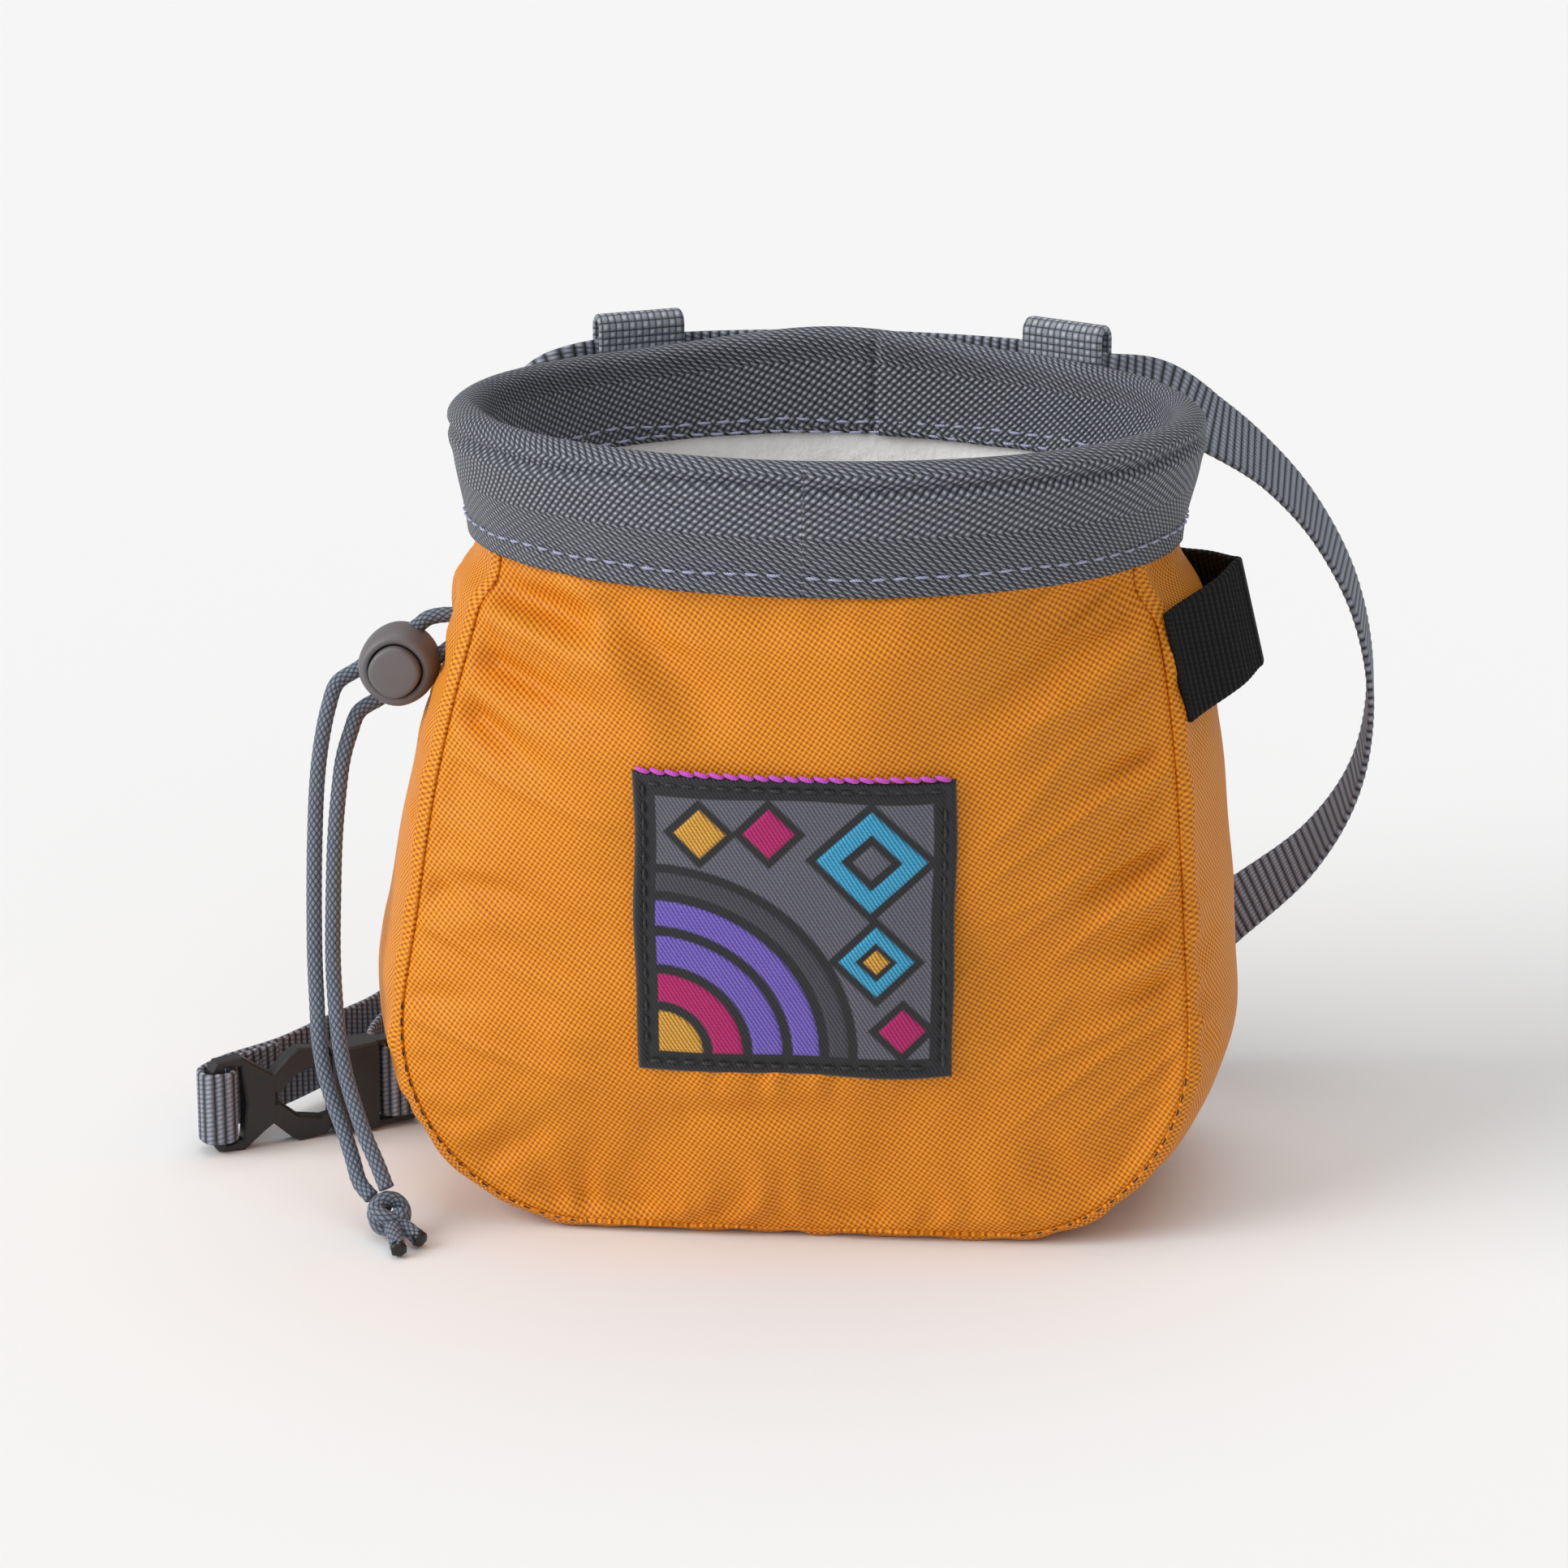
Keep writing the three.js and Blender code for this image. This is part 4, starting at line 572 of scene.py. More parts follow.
@dataclass(frozen=True)
class PlasticFinish:
    """Moulded plastic with a fine spark texture."""

    name: str
    tint: tuple
    worn: tuple
    roughness: float = 0.46

    def build(self) -> bpy.types.Material:
        """Makes the material.

        Returns:
            The new material.
        """
        g = Graph(self.name)
        grain = g.noise(2600, 2)
        cloud = g.noise(110, 4)
        g.put(g.shader.inputs["Base Color"], g.mix(g.math("MULTIPLY", cloud, 0.5), self.tint, self.worn))
        g.put(g.shader.inputs["Roughness"], g.math("MULTIPLY_ADD", grain, 0.25, self.roughness - 0.12))
        g.shader.inputs["Specular IOR Level"].default_value = 0.45
        g.put(g.shader.inputs["Normal"], g.bump(grain, 0.07, 0.7))
        return g.material


@dataclass(frozen=True)
class ThreadFinish:
    """Twisted sewing thread."""

    name: str
    tint: tuple
    shade: tuple

    def build(self) -> bpy.types.Material:
        """Makes the material.

        Returns:
            The new material.
        """
        g = Graph(self.name)
        u, v = g.weave_place()
        ply = g.wave(g.math("MULTIPLY_ADD", v, 0.9, u), 0.55)
        fuzz = g.noise(5000, 2)
        g.put(g.shader.inputs["Base Color"], g.mix(ply, self.shade, self.tint))
        g.put(g.shader.inputs["Roughness"], g.math("MULTIPLY_ADD", fuzz, 0.2, 0.4))
        g.shader.inputs["Sheen Weight"].default_value = 0.2
        g.put(g.shader.inputs["Normal"], g.bump(ply, 0.08, 0.9))
        return g.material


@dataclass(frozen=True)
class FloorFinish:
    """A plain pale studio floor."""

    name: str = "studio_floor"
    tint: tuple = (0.86, 0.86, 0.86, 1.0)

    def build(self) -> bpy.types.Material:
        """Makes the material.

        Returns:
            The new material.
        """
        g = Graph(self.name)
        cloud = g.noise(3, 2)
        shade = g.mix(g.math("MULTIPLY", cloud, 0.01), self.tint, (0.7, 0.7, 0.7, 1))
        g.put(g.shader.inputs["Base Color"], shade)
        g.shader.inputs["Roughness"].default_value = 1.0
        g.shader.inputs["Specular IOR Level"].default_value = 0.0
        return g.material


@dataclass
class Finishes:
    """Every finish of the bag, built once."""

    nylon: bpy.types.Material = None
    rim: bpy.types.Material = None
    rib: bpy.types.Material = None
    basket: bpy.types.Material = None
    black_rib: bpy.types.Material = None
    fleece: bpy.types.Material = None
    cord: bpy.types.Material = None
    label: bpy.types.Material = None
    black_plastic: bpy.types.Material = None
    grey_plastic: bpy.types.Material = None
    pale_thread: bpy.types.Material = None
    black_thread: bpy.types.Material = None
    magenta_thread: bpy.types.Material = None
    melted: bpy.types.Material = None

    def __post_init__(self) -> None:
        """Builds the materials."""
        light, dark = colour(184, 188, 201), colour(16, 17, 22)
        # Each cloth's second colour is painted shade in its weave's hollows.
        cloths = {
            "nylon": ClothFinish("amber_nylon", Weave.PLAIN, colour(255, 164, 44), colour(150, 70, 3),
                                 0.6, 0.14, 0.5, 0.0, gloss=0.22),
            "rim": ClothFinish("rim_herringbone", Weave.HERRINGBONE, light, dark, 1.42, 0.62, 0.55),
            "rib": ClothFinish("ribbed_webbing", Weave.RIB, colour(160, 165, 180), dark, 1.0, 0.5, 0.6),
            "basket": ClothFinish("basket_webbing", Weave.BASKET, colour(176, 181, 192), dark,
                                  1.4, 0.45, 0.6),
            "black_rib": ClothFinish("black_ribbed_webbing", Weave.RIB, colour(30, 30, 29), colour(2, 2, 2),
                                     1.0, 0.5, 0.7, 0.0, gloss=0.2),
            "cord": ClothFinish("braided_cord", Weave.BRAID, colour(122, 132, 148), colour(26, 30, 38),
                                1.0, 0.2, 0.55),
            "label": ClothFinish("label_twill", Weave.TWILL, colour(100, 100, 112), colour(24, 24, 28),
                                 0.8, 0.12, 0.55, 0.2, tinted=True),
        }
        plastics = {
            "black_plastic": PlasticFinish("black_moulded_plastic", colour(33, 33, 35), colour(58, 58, 60)),
            "grey_plastic": PlasticFinish("grey_moulded_plastic", colour(98, 95, 98), colour(122, 118, 120)),
            "melted": PlasticFinish("melted_cord_end", colour(16, 16, 17), colour(40, 38, 36), 0.3),
        }
        threads = {
            "pale_thread": ThreadFinish("pale_thread", colour(196, 198, 226), colour(120, 124, 160)),
            "black_thread": ThreadFinish("black_thread", colour(30, 30, 32), colour(6, 6, 6)),
            "magenta_thread": ThreadFinish("magenta_thread", colour(228, 30, 150), colour(150, 90, 220)),
        }
        for place, finish in {**cloths, **plastics, **threads, "fleece": FleeceFinish()}.items():
            setattr(self, place, finish.build())


def dress(piece: bpy.types.Object, material: bpy.types.Material, body: str = BAG,
          nodes: tuple[str, ...] = ()) -> bpy.types.Object:
    """Gives a piece its material, body and the CAD nodes that it stands for.

    Args:
        piece: The piece.
        material: Its material.
        body: The CAD body that it rides on.
        nodes: The CAD nodes that it replaces.

    Returns:
        The piece.
    """
    piece.data.materials.clear()
    piece.data.materials.append(material)
    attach(piece, body)
    if nodes:
        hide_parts(*nodes)
    log.info("piece %s rides on %s and stands for %s", piece.name, body, nodes or "no node")
    return piece


def stitches(name: str, starts: Array, ends: Array, normals: Array, radius: float,
             arch: float = 0.25) -> bpy.types.Object:
    """A run of separate sewing stitches as one mesh.

    Args:
        name: The piece's name.
        starts: Where each stitch comes out.
        ends: Where each goes in.
        normals: The cloth's normal at each stitch.
        radius: The thread's radius.
        arch: How far a stitch's middle stands off the cloth.

    Returns:
        The new object.
    """
    share = np.array([0.0, 0.12, 0.35, 0.65, 0.88, 1.0])
    fat = np.array([0.25, 0.8, 1.0, 1.0, 0.8, 0.25]) * radius
    lift = np.array([-0.5, 0.3, 1.0, 1.0, 0.3, -0.5]) * arch
    way = unit(ends - starts)
    normals = unit(normals)
    side = np.cross(way, normals)
    centre = starts[:, None, :] + (ends - starts)[:, None, :] * share[None, :, None]
    centre = centre + normals[:, None, :] * (lift + radius * 0.6)[None, :, None]
    sides = 8
    turn = np.linspace(0, 2 * math.pi, sides, endpoint=False)
    ring = side[:, None, None, :] * np.cos(turn)[None, None, :, None]
    ring = ring + normals[:, None, None, :] * np.sin(turn)[None, None, :, None]
    points = centre[:, :, None, :] + ring * fat[None, :, None, None]
    count, rings = len(starts), len(share)
    k, r, c = np.meshgrid(np.arange(count), np.arange(rings - 1), np.arange(sides), indexing="ij")
    base = k * rings * sides
    beside = (c + 1) % sides
    quads = np.stack([base + r * sides + c, base + r * sides + beside,
                      base + (r + 1) * sides + beside, base + (r + 1) * sides + c], -1).reshape(-1, 4)
    span = np.linalg.norm(ends - starts, axis=1).mean()
    along = share * span
    uv = np.stack([
        np.stack([along[r], c / sides * 2.0], -1), np.stack([along[r], (c + 1) / sides * 2.0], -1),
        np.stack([along[r + 1], (c + 1) / sides * 2.0], -1), np.stack([along[r + 1], c / sides * 2.0], -1),
    ], -2).reshape(-1, 2)
    first = np.arange(sides)[::-1][None, :] + (np.arange(count) * rings * sides)[:, None]
    last = np.arange(sides)[None, :] + ((np.arange(count) * rings + rings - 1) * sides)[:, None]
    ends_uv = np.zeros((2 * count * sides, 2))
    return mesh_object(name, points.reshape(-1, 3), [quads, first, last], np.vstack([uv, ends_uv]))


def run_of(line: Array, normals: Array, pitch: float, share: float) -> tuple[Array, Array, Array]:
    """Starts, ends and normals of stitches along a line.

    Args:
        line: The seam's points.
        normals: The cloth's normals along it.
        pitch: From one stitch to the next.
        share: A stitch's share of the pitch.

    Returns:
        The starts, the ends and the normals.
    """
    reach = np.concatenate([[0.0], np.cumsum(np.linalg.norm(np.diff(line, axis=0), axis=1))])
    count = int(reach[-1] / pitch)
    at = (np.arange(count) + 0.5) * pitch

    def pick(values: Array, where: Array) -> Array:
        """Values at lengths along the line."""
        return np.stack([np.interp(where, reach, values[:, k]) for k in range(3)], 1)
    half = pitch * share / 2
    return pick(line, at - half), pick(line, at + half), pick(normals, at)


# The bag's form, from the same sizes and tables as the frame's source


@dataclass
class BagForm:
    """The bag's shape: panels, gusset and rim, as functions of a few sizes and tables."""

    rim_height: float = 157.0
    rim_half_width: float = 72.0
    rim_half_depth: float = 52.5
    seam_half_width: float = 76.0
    base_half_depth: float = 38.0
    corner_radius: float = 37.0
    gusset_bulge: float = 7.8
    seam_rise: float = 1.8
    band_height: float = 25.0
    band_thickness: float = 1.2
    lip_peak: float = 3.5
    lip_peak_width: float = 26.0
    shell_top: float = 151.0
    shell_inset: float = 1.65
    blend_share: float = 0.07
    rim_seam_share: float = 0.89
    panel_power: float = 2.3
    gusset_flat: float = 0.72
    slit: tuple = (-0.8, 107.0)
    pinch_depth: float = 4.6
    pinch_radius: float = 11.0
    # level, lean, seam, bulge, seam depth, front, back
    sections: tuple = (
        (0.000, 0.000, 1.000, 0.00, 1.00, 0.731, 0.731),
        (0.012, 0.000, 1.000, 0.00, 1.00, 0.735, 0.735),
        (0.050, -0.008, 1.000, 0.35, 0.98, 0.775, 0.775),
        (0.127, -0.016, 1.000, 0.82, 0.93, 0.835, 0.830),
        (0.248, -0.018, 1.000, 1.00, 0.87, 0.905, 0.880),
        (0.395, -0.006, 0.971, 1.00, 0.83, 0.952, 0.910),
        (0.535, 0.006, 0.940, 0.92, 0.79, 0.975, 0.930),
        (0.637, 0.018, 0.908, 0.88, 0.75, 0.990, 0.945),
        (0.770, 0.030, 0.848, 0.95, 0.66, 0.995, 0.960),
        (0.840, 0.026, 0.800, 0.80, 0.62, 0.960, 0.960),
        (1.000, 0.028, 0.800, 0.80, 0.62, 0.960, 0.960),
    )
    # level, wide, deep
    rim_sections: tuple = (
        (0.700, 0.952, 0.990), (0.830, 0.955, 0.990), (0.870, 0.965, 0.994),
        (0.930, 0.992, 1.000), (0.975, 1.007, 1.000), (1.000, 1.000, 0.996),
    )

    def __post_init__(self) -> None:
        """Prepares the tables' columns."""
        rows = list(zip(*self.sections))
        names = ("lean", "seam", "bulge", "seam_depth", "front", "back")
        self.columns = {name: Column(rows[0], rows[k + 1]) for k, name in enumerate(names)}
        ring = list(zip(*self.rim_sections))
        self.ring_columns = {"wide": Column(ring[0], ring[1]), "deep": Column(ring[0], ring[2])}
        self.arc_top = self.corner_radius + self.seam_rise
        self.band_low = self.rim_height - self.band_height
        self.hem_level = self.band_low - 0.6

    def section(self, name: str, z: Array) -> Array:
        """A column of the body's sections at a height."""
        return self.columns[name](np.asarray(z, float) / self.rim_height)

    def lean(self, z: Array) -> Array:
        """How far the middle leans to the right at a height."""
        return self.section("lean", z) * self.seam_half_width

    def rim_point(self, angle: Array, z: Array, inset: Array) -> Array:
        """A point of the rim at an angle from the front, moved in by an inset.

        Args:
            angle: The angle from the front.
            z: The height.
            inset: How far inside the band's outside.

        Returns:
            The points.
        """
        wide = self.ring_columns["wide"](np.asarray(z, float) / self.rim_height) * self.rim_half_width
        deep = self.ring_columns["deep"](np.asarray(z, float) / self.rim_height) * self.rim_half_depth
        nx, ny = np.sin(angle) / wide, -np.cos(angle) / deep
        size = np.hypot(nx, ny)
        x = self.lean(z) + wide * np.sin(angle) - inset * nx / size
        y = -deep * np.cos(angle) - inset * ny / size
        return np.stack(np.broadcast_arrays(x, y, np.asarray(z, float)), -1)

    def lip_rise(self, x: Array, y: Array) -> Array:
        """How far the lip rises at the back."""
        return np.where(y > 0, self.lip_peak * np.exp(-((x / self.lip_peak_width) ** 2)), 0.0)

    def seam(self, z: Array) -> Array:
        """Half width of the seam line at a height."""
        z = np.asarray(z, float)
        wide = self.section("seam", np.maximum(z, self.arc_top)) * self.seam_half_width
        drop = np.clip(self.arc_top - z, 0, self.corner_radius)
        return wide - self.corner_radius + np.sqrt(np.maximum(self.corner_radius ** 2 - drop ** 2, 0))

    def panel_share(self, z: Array) -> Array:
        """1 on the panels, 0 on the rim's ellipse."""
        return 1 - smooth(z, self.hem_level - self.blend_share * self.rim_height, self.hem_level)

    def panel(self, facing: int, across: Array, z: Array) -> Array:
        """Points of the front (-1) or back (1) panel.

        Args:
            facing: -1 for the front, 1 for the back.
            across: From -1 to 1 between the seams.
            z: The height.

        Returns:
            The points.
        """
        half = self.seam(z)
        seam_depth = self.section("seam_depth", z) * self.base_half_depth
        crown = self.section("front" if facing < 0 else "back", z) * self.rim_half_depth
        depth = seam_depth + (crown - seam_depth) * (1 - np.abs(across) ** self.panel_power)
        body = np.stack(np.broadcast_arrays(self.lean(z) + half * across, facing * depth, z), -1)
        side = np.arcsin(np.clip(across * self.rim_seam_share, -1, 1))
        ring = self.rim_point(side if facing < 0 else math.pi - side, z, self.shell_inset)
        share = self.panel_share(z)[..., None]
        return ring * (1 - share) + body * share

    def gusset(self, side: Array, z: Array, half: Array, out_x: Array, out_z: Array, along: Array) -> Array:
        """Points of the gusset.

        Args:
            side: -1 on the left, 1 on the right and on the base.
            z: The seam's height at the station.
            half: The seam's half width there.
            out_x: How far the station faces sideways.
            out_z: How far it faces up.
            along: From the front (-1) to the back (1).

        Returns:
            The points.
        """
        seam_depth = self.section("seam_depth", z) * self.base_half_depth
        bulge = self.seam_rise + self.section("bulge", z) * (self.gusset_bulge - self.seam_rise)
        round_top = 1 - along ** 2
        flat = np.minimum(1, (1 - np.abs(along)) / (1 - self.gusset_flat))
        lift = bulge * (round_top + (flat - round_top) * out_z ** 4)
        x = self.lean(z) + side * (half + lift * out_x)
        y = along * seam_depth
        pinch = self.pinch_depth * bell(np.hypot(y - self.slit[0], z - self.slit[1]), self.pinch_radius)
        x = x + np.where(side < 0, pinch * out_x, 0)
        body = np.stack(np.broadcast_arrays(x, y, z + lift * out_z), -1)
        angle = np.arccos(np.clip(-along * math.cos(math.asin(self.rim_seam_share)), -1, 1))
        ring = self.rim_point(side * angle, z, self.shell_inset)
        share = self.panel_share(z)[..., None]
        return ring * (1 - share) + body * share

    def outline(self, corner_steps: int, side_steps: int, hem_steps: int) -> tuple[Array, ...]:
        """Stations of the seam's outline from the base's end up one side.

        Args:
            corner_steps: Steps round the corner.
            side_steps: Steps up the side.
            hem_steps: Steps under the band.

        Returns:
            Heights, half widths and the two parts of the way it faces.
        """
        turn = np.linspace(0, math.pi / 2, corner_steps + 1)
        low = self.seam_rise + self.corner_radius * (1 - np.cos(turn))
        side = np.linspace(self.arc_top, self.hem_level, side_steps + 1)[1:]
        hem = np.linspace(self.hem_level, self.shell_top, hem_steps + 1)[1:]
        z = np.concatenate([low, side, hem])
        ones = np.ones(side_steps + hem_steps)
        out_x = np.concatenate([np.sin(turn), ones])
        out_z = np.concatenate([-np.cos(turn), ones * 0])
        return z, self.seam(z), out_x, out_z


@dataclass(frozen=True)
class Fold:
    """One fold of the cloth between two places of a panel, sunk where its depth is negative."""

    x: float
    z: float
    x2: float
    z2: float
    width: float
    depth: float

    def height(self, x: Array, z: Array) -> Array:
        """The fold's height at places of the panel.

        Args:
            x: Places across.
            z: Their heights.

        Returns:
            The height in millimetres.
        """
        line = np.array([self.x2 - self.x, self.z2 - self.z])
        share = ((x - self.x) * line[0] + (z - self.z) * line[1]) / line.dot(line)
        held = np.clip(share, -0.15, 1.15)
        off = np.hypot(x - self.x - held * line[0], z - self.z - held * line[1])
        wide = self.width * (0.75 + 0.5 * np.clip(share, 0, 1))
        return self.depth * np.exp(-((off / wide) ** 2)) * np.exp(-(((held - 0.35) / 0.6) ** 2))


@dataclass
class Shell:
    """The nylon shell: front and back panels and the gusset, with folds, puckers and seam thread."""

    form: BagForm
    finishes: Finishes
    columns: int = 190
    corner_steps: int = 56
    side_steps: int = 104
    hem_steps: int = 10
    gusset_columns: int = 56
    cloth: float = 0.7
    groove: float = 0.5
    groove_width: float = 0.8
    edge_calm: float = 4.6
    crease_depth: float = 1.05
    pucker_depth: float = 0.42
    fold_strength: float = 1.35
    ridge_height: float = 0.7
    ridge_place: float = 2.3
    ridge_width: float = 1.3
    ridge_calm: float = 1.8
    thread_tops: tuple = ((1, 36.0), (-1, 46.0))
    thread_sink: float = 0.3
    thread_pitch: float = 3.1
    thread_share: float = 0.62
    thread_radius: float = 0.24
    thread_arch: float = 0.15
    folds: tuple[Fold, ...] = (
        Fold(-67, 127.0, -27, 121.0, 3.4, -3.0),
        Fold(-60, 121.5, -30, 116.5, 3.6, 2.2),
        Fold(-67, 113.5, -37, 106.5, 3.2, -2.6),
        Fold(-66, 108.5, -40, 100.5, 3.4, 1.9),
        Fold(-67, 103.5, -46, 94.0, 2.8, -1.7),
        Fold(-66, 98.5, -50, 88.0, 3.0, 1.1),
        Fold(-30, 124.0, -14, 106.0, 5.0, -1.8),
        Fold(-38, 126.0, -24, 104.0, 4.2, 1.4),
        Fold(70, 128.0, 34, 108.5, 4.2, -2.4),
        Fold(66, 121.0, 38, 101.0, 4.4, 1.7),
        Fold(60, 129.0, 40, 119.0, 3.0, -1.3),
        Fold(73, 99.0, 54, 92.5, 2.4, -1.9),
        Fold(73, 95.0, 57, 89.0, 2.2, 1.3),
        Fold(74, 90.0, 60, 84.0, 2.4, -1.2),
        Fold(74, 79.5, 52, 70.5, 2.8, -2.2),
        Fold(74, 74.0, 56, 65.5, 2.6, 1.6),
        Fold(75, 66.0, 55, 58.5, 2.5, -1.9),
        Fold(75, 60.5, 58, 54.0, 2.4, 1.3),
        Fold(76, 54.0, 58, 48.0, 2.4, -1.5),
        Fold(-15, 28.0, 17, 29.0, 4.6, -1.3),
        Fold(30, 62.0, 66, 36.0, 12.0, -1.9),
        Fold(-76, 66.0, -50, 71.0, 3.0, -1.1),
        Fold(-76, 60.0, -54, 63.0, 3.0, 0.9),
        Fold(-76, 46.0, -58, 48.0, 2.8, -1.0),
        Fold(-60, 14.0, -44, 26.0, 3.6, -1.2),
        Fold(56, 12.0, 42, 24.0, 3.6, -1.1),
    )

    def seam_distance(self, x: Array, z: Array) -> tuple[Array, Array]:
        """How far a place is inside the seam line, and how far round that line.

        Args:
            x: Places across, from the bag's middle.
            z: Their heights.

        Returns:
            The distance from the seam, and the length along it.
        """
        form = self.form
        wide = form.seam(np.maximum(z, form.arc_top))
        middle = wide - form.corner_radius
        beside = np.abs(x) - middle
        below = form.arc_top - z
        corner = form.corner_radius - np.hypot(np.maximum(beside, 0), np.maximum(below, 0))
        away = np.where(below <= 0, wide - np.abs(x), np.where(beside <= 0, z - form.seam_rise, corner))
        turn = np.arctan2(np.maximum(beside, 0), np.maximum(below, 1e-6))
        on_side = middle + form.corner_radius * math.pi / 2 + (z - form.arc_top)
        round_by = np.where(below <= 0, on_side,
                            np.where(beside <= 0, np.abs(x), middle + form.corner_radius * turn))
        return np.maximum(away, 0), np.sign(x) * round_by

    def creases(self, local: Array, z: Array, facing: int) -> Array:
        """Fine sharp creases that slant down from both seams towards the middle.

        Args:
            local: Places across, from the bag's middle.
            z: Their heights.
            facing: -1 for the front, 1 for the back.

        Returns:
            The height in millimetres.
        """
        total = local * 0
        for side, slant in ((-1, 0.42), (1, 0.52)):
            near = smooth(side * local, 18, 62) * smooth(z, 16, 40)
            across = z - side * local * slant
            along = local + side * z * slant
            lines = ripples(across, along * 0.22, 17, 121 + 2 * side + facing, 6)
            total = total + near * (np.exp(-((lines / 0.35) ** 2)) - 0.35) * self.crease_depth
        return total

    def puckers(self, round_by: Array, away: Array, seed: int) -> Array:
        """Gathers that run in from a seam, uneven in spacing and length.

        Args:
            round_by: How far round the seam.
            away: How far from it.
            seed: Picks the pattern.

        Returns:
            The height in millimetres.
        """
        tight = np.clip(0.55 + 0.6 * ripples(round_by, away * 0, 48, seed), 0.1, 1.4)
        fine = np.sin(round_by * 2 * math.pi / 5.6 + 1.6 * ripples(round_by, away, 19, seed + 10))
        wide = np.sin(round_by * 2 * math.pi / 12.5 + 1.8 * ripples(round_by, away, 30, seed + 20))
        return tight * (self.pucker_depth * fine * np.exp(-away / 3.6) + 0.75 * wide * np.exp(-away / 9.0))

    def relief(self, x: Array, z: Array, facing: int) -> Array:
        """The cloth's folds and puckers on a panel.

        Args:
            x: Places across.
            z: Their heights.
            facing: -1 for the front, 1 for the back.

        Returns:
            The height in millimetres.
        """
        form = self.form
        local = x - form.lean(z)
        away, round_by = self.seam_distance(local, z)
        height = ripples(x, z, 44, 5 + facing) * 1.0 + ripples(x, z, 17, 11 + facing) * 0.2
        height = height + self.creases(local, z, facing)
        height = height + self.puckers(round_by, away, 21 + facing)
        height = height * smooth(away, 0.0, self.edge_calm)
        height = height - self.groove * np.exp(-((away / self.groove_width) ** 2))
        under_band = np.maximum(form.band_low - z, 0)
        gather = ripples(x, z * 0.15, 7.5, 41 + facing, 6)
        height = height + 0.32 * gather * np.exp(-under_band / 6.5)
        if facing < 0:
            held = self.fold_strength * smooth(away, 0.0, self.edge_calm)
            for fold in self.folds:
                height = height + held * fold.height(x, z)
            below_label = np.maximum(37.5 - z, 0)
            under = np.exp(-below_label / 5.5) * smooth(z, 22, 37) * (1 - smooth(z, 37.5, 39))
            height = height + 0.5 * ripples(x, z * 0.1, 4.6, 51, 5) * under * bell(x, 24)
        fade = 1 - smooth(z, form.hem_level - 1.5, form.hem_level + 1.5)
        return height * (0.12 + 0.88 * fade)

    def panel_object(self, name: str, facing: int, node: str) -> bpy.types.Object:
        """One panel as a dressed piece.

        Args:
            name: The piece's name.
            facing: -1 for the front, 1 for the back.
            node: The CAD node that it stands for.

        Returns:
            The piece.
        """
        form = self.form
        z, half, _, _ = form.outline(self.corner_steps, self.side_steps, self.hem_steps)
        t = np.linspace(-1, 1, self.columns + 1)
        across = 0.5 * t + 0.5 * np.sin(math.pi / 2 * t)
        zz, aa = np.meshgrid(z, across, indexing="ij")
        points = form.panel(facing, aa, zz)
        normals = grid_normals(points, np.array([0.0, facing, 0.0]))
        height = self.relief(points[..., 0], zz, facing)
        points = points + normals * height[..., None]
        points[..., 2] = np.maximum(points[..., 2], 0.3)
        weave = np.stack([points[..., 0] * 0.97 + zz * 0.24, zz * 0.97 - points[..., 0] * 0.24], -1)
        piece = grid_object(name, points, weave)
        thicken(piece, self.cloth, 1.0 if facing > 0 else -1.0)
        return dress(piece, self.finishes.nylon, BAG, (node,))

    def gusset_relief(self, length: Array, along: Array, side: Array, z: Array) -> Array:
        """The cloth's folds and puckers on the gusset.

        Args:
            length: How far round the outline.
            along: From the front (-1) to the back (1).
            side: -1 on the left, 1 on the right.
            z: The height.

        Returns:
            The height in millimetres.
        """
        form = self.form
        depth = form.section("seam_depth", z) * form.base_half_depth
        away = (1 - np.abs(along)) * depth
        height = 0.4 * ripples(length, along * 30, 34, 61)
        height = height + self.puckers(length, away, 63)
        ridge = self.ridge_height * bell(away - self.ridge_place, self.ridge_width)
        ridge = ridge * (0.7 + 0.3 * ripples(length, along * 0, 9, 66))
        height = height * smooth(away, 0.0, self.edge_calm) + ridge * smooth(away, 0.0, self.ridge_calm)
        height = height - self.groove * np.exp(-((away / self.groove_width) ** 2))
        y = along * depth
        reach = np.hypot(y - form.slit[0], z - form.slit[1])
        turn = np.arctan2(z - form.slit[1], y - form.slit[0])
        rays = np.cos(turn * 7 + 0.8 * ripples(reach, turn * 6, 12, 67))
        drawn = np.where(side < 0, 1.0, 0.0)
        height = height + drawn * 0.9 * rays * bell(reach - 9, 8)
        under_band = np.maximum(form.band_low - z, 0)
        height = height + 0.3 * ripples(y, z * 0.1, 7, 69, 5) * np.exp(-under_band / 7)
        fade = 1 - smooth(z, form.hem_level - 1.5, form.hem_level + 1.5)
        return height * (0.12 + 0.88 * fade)

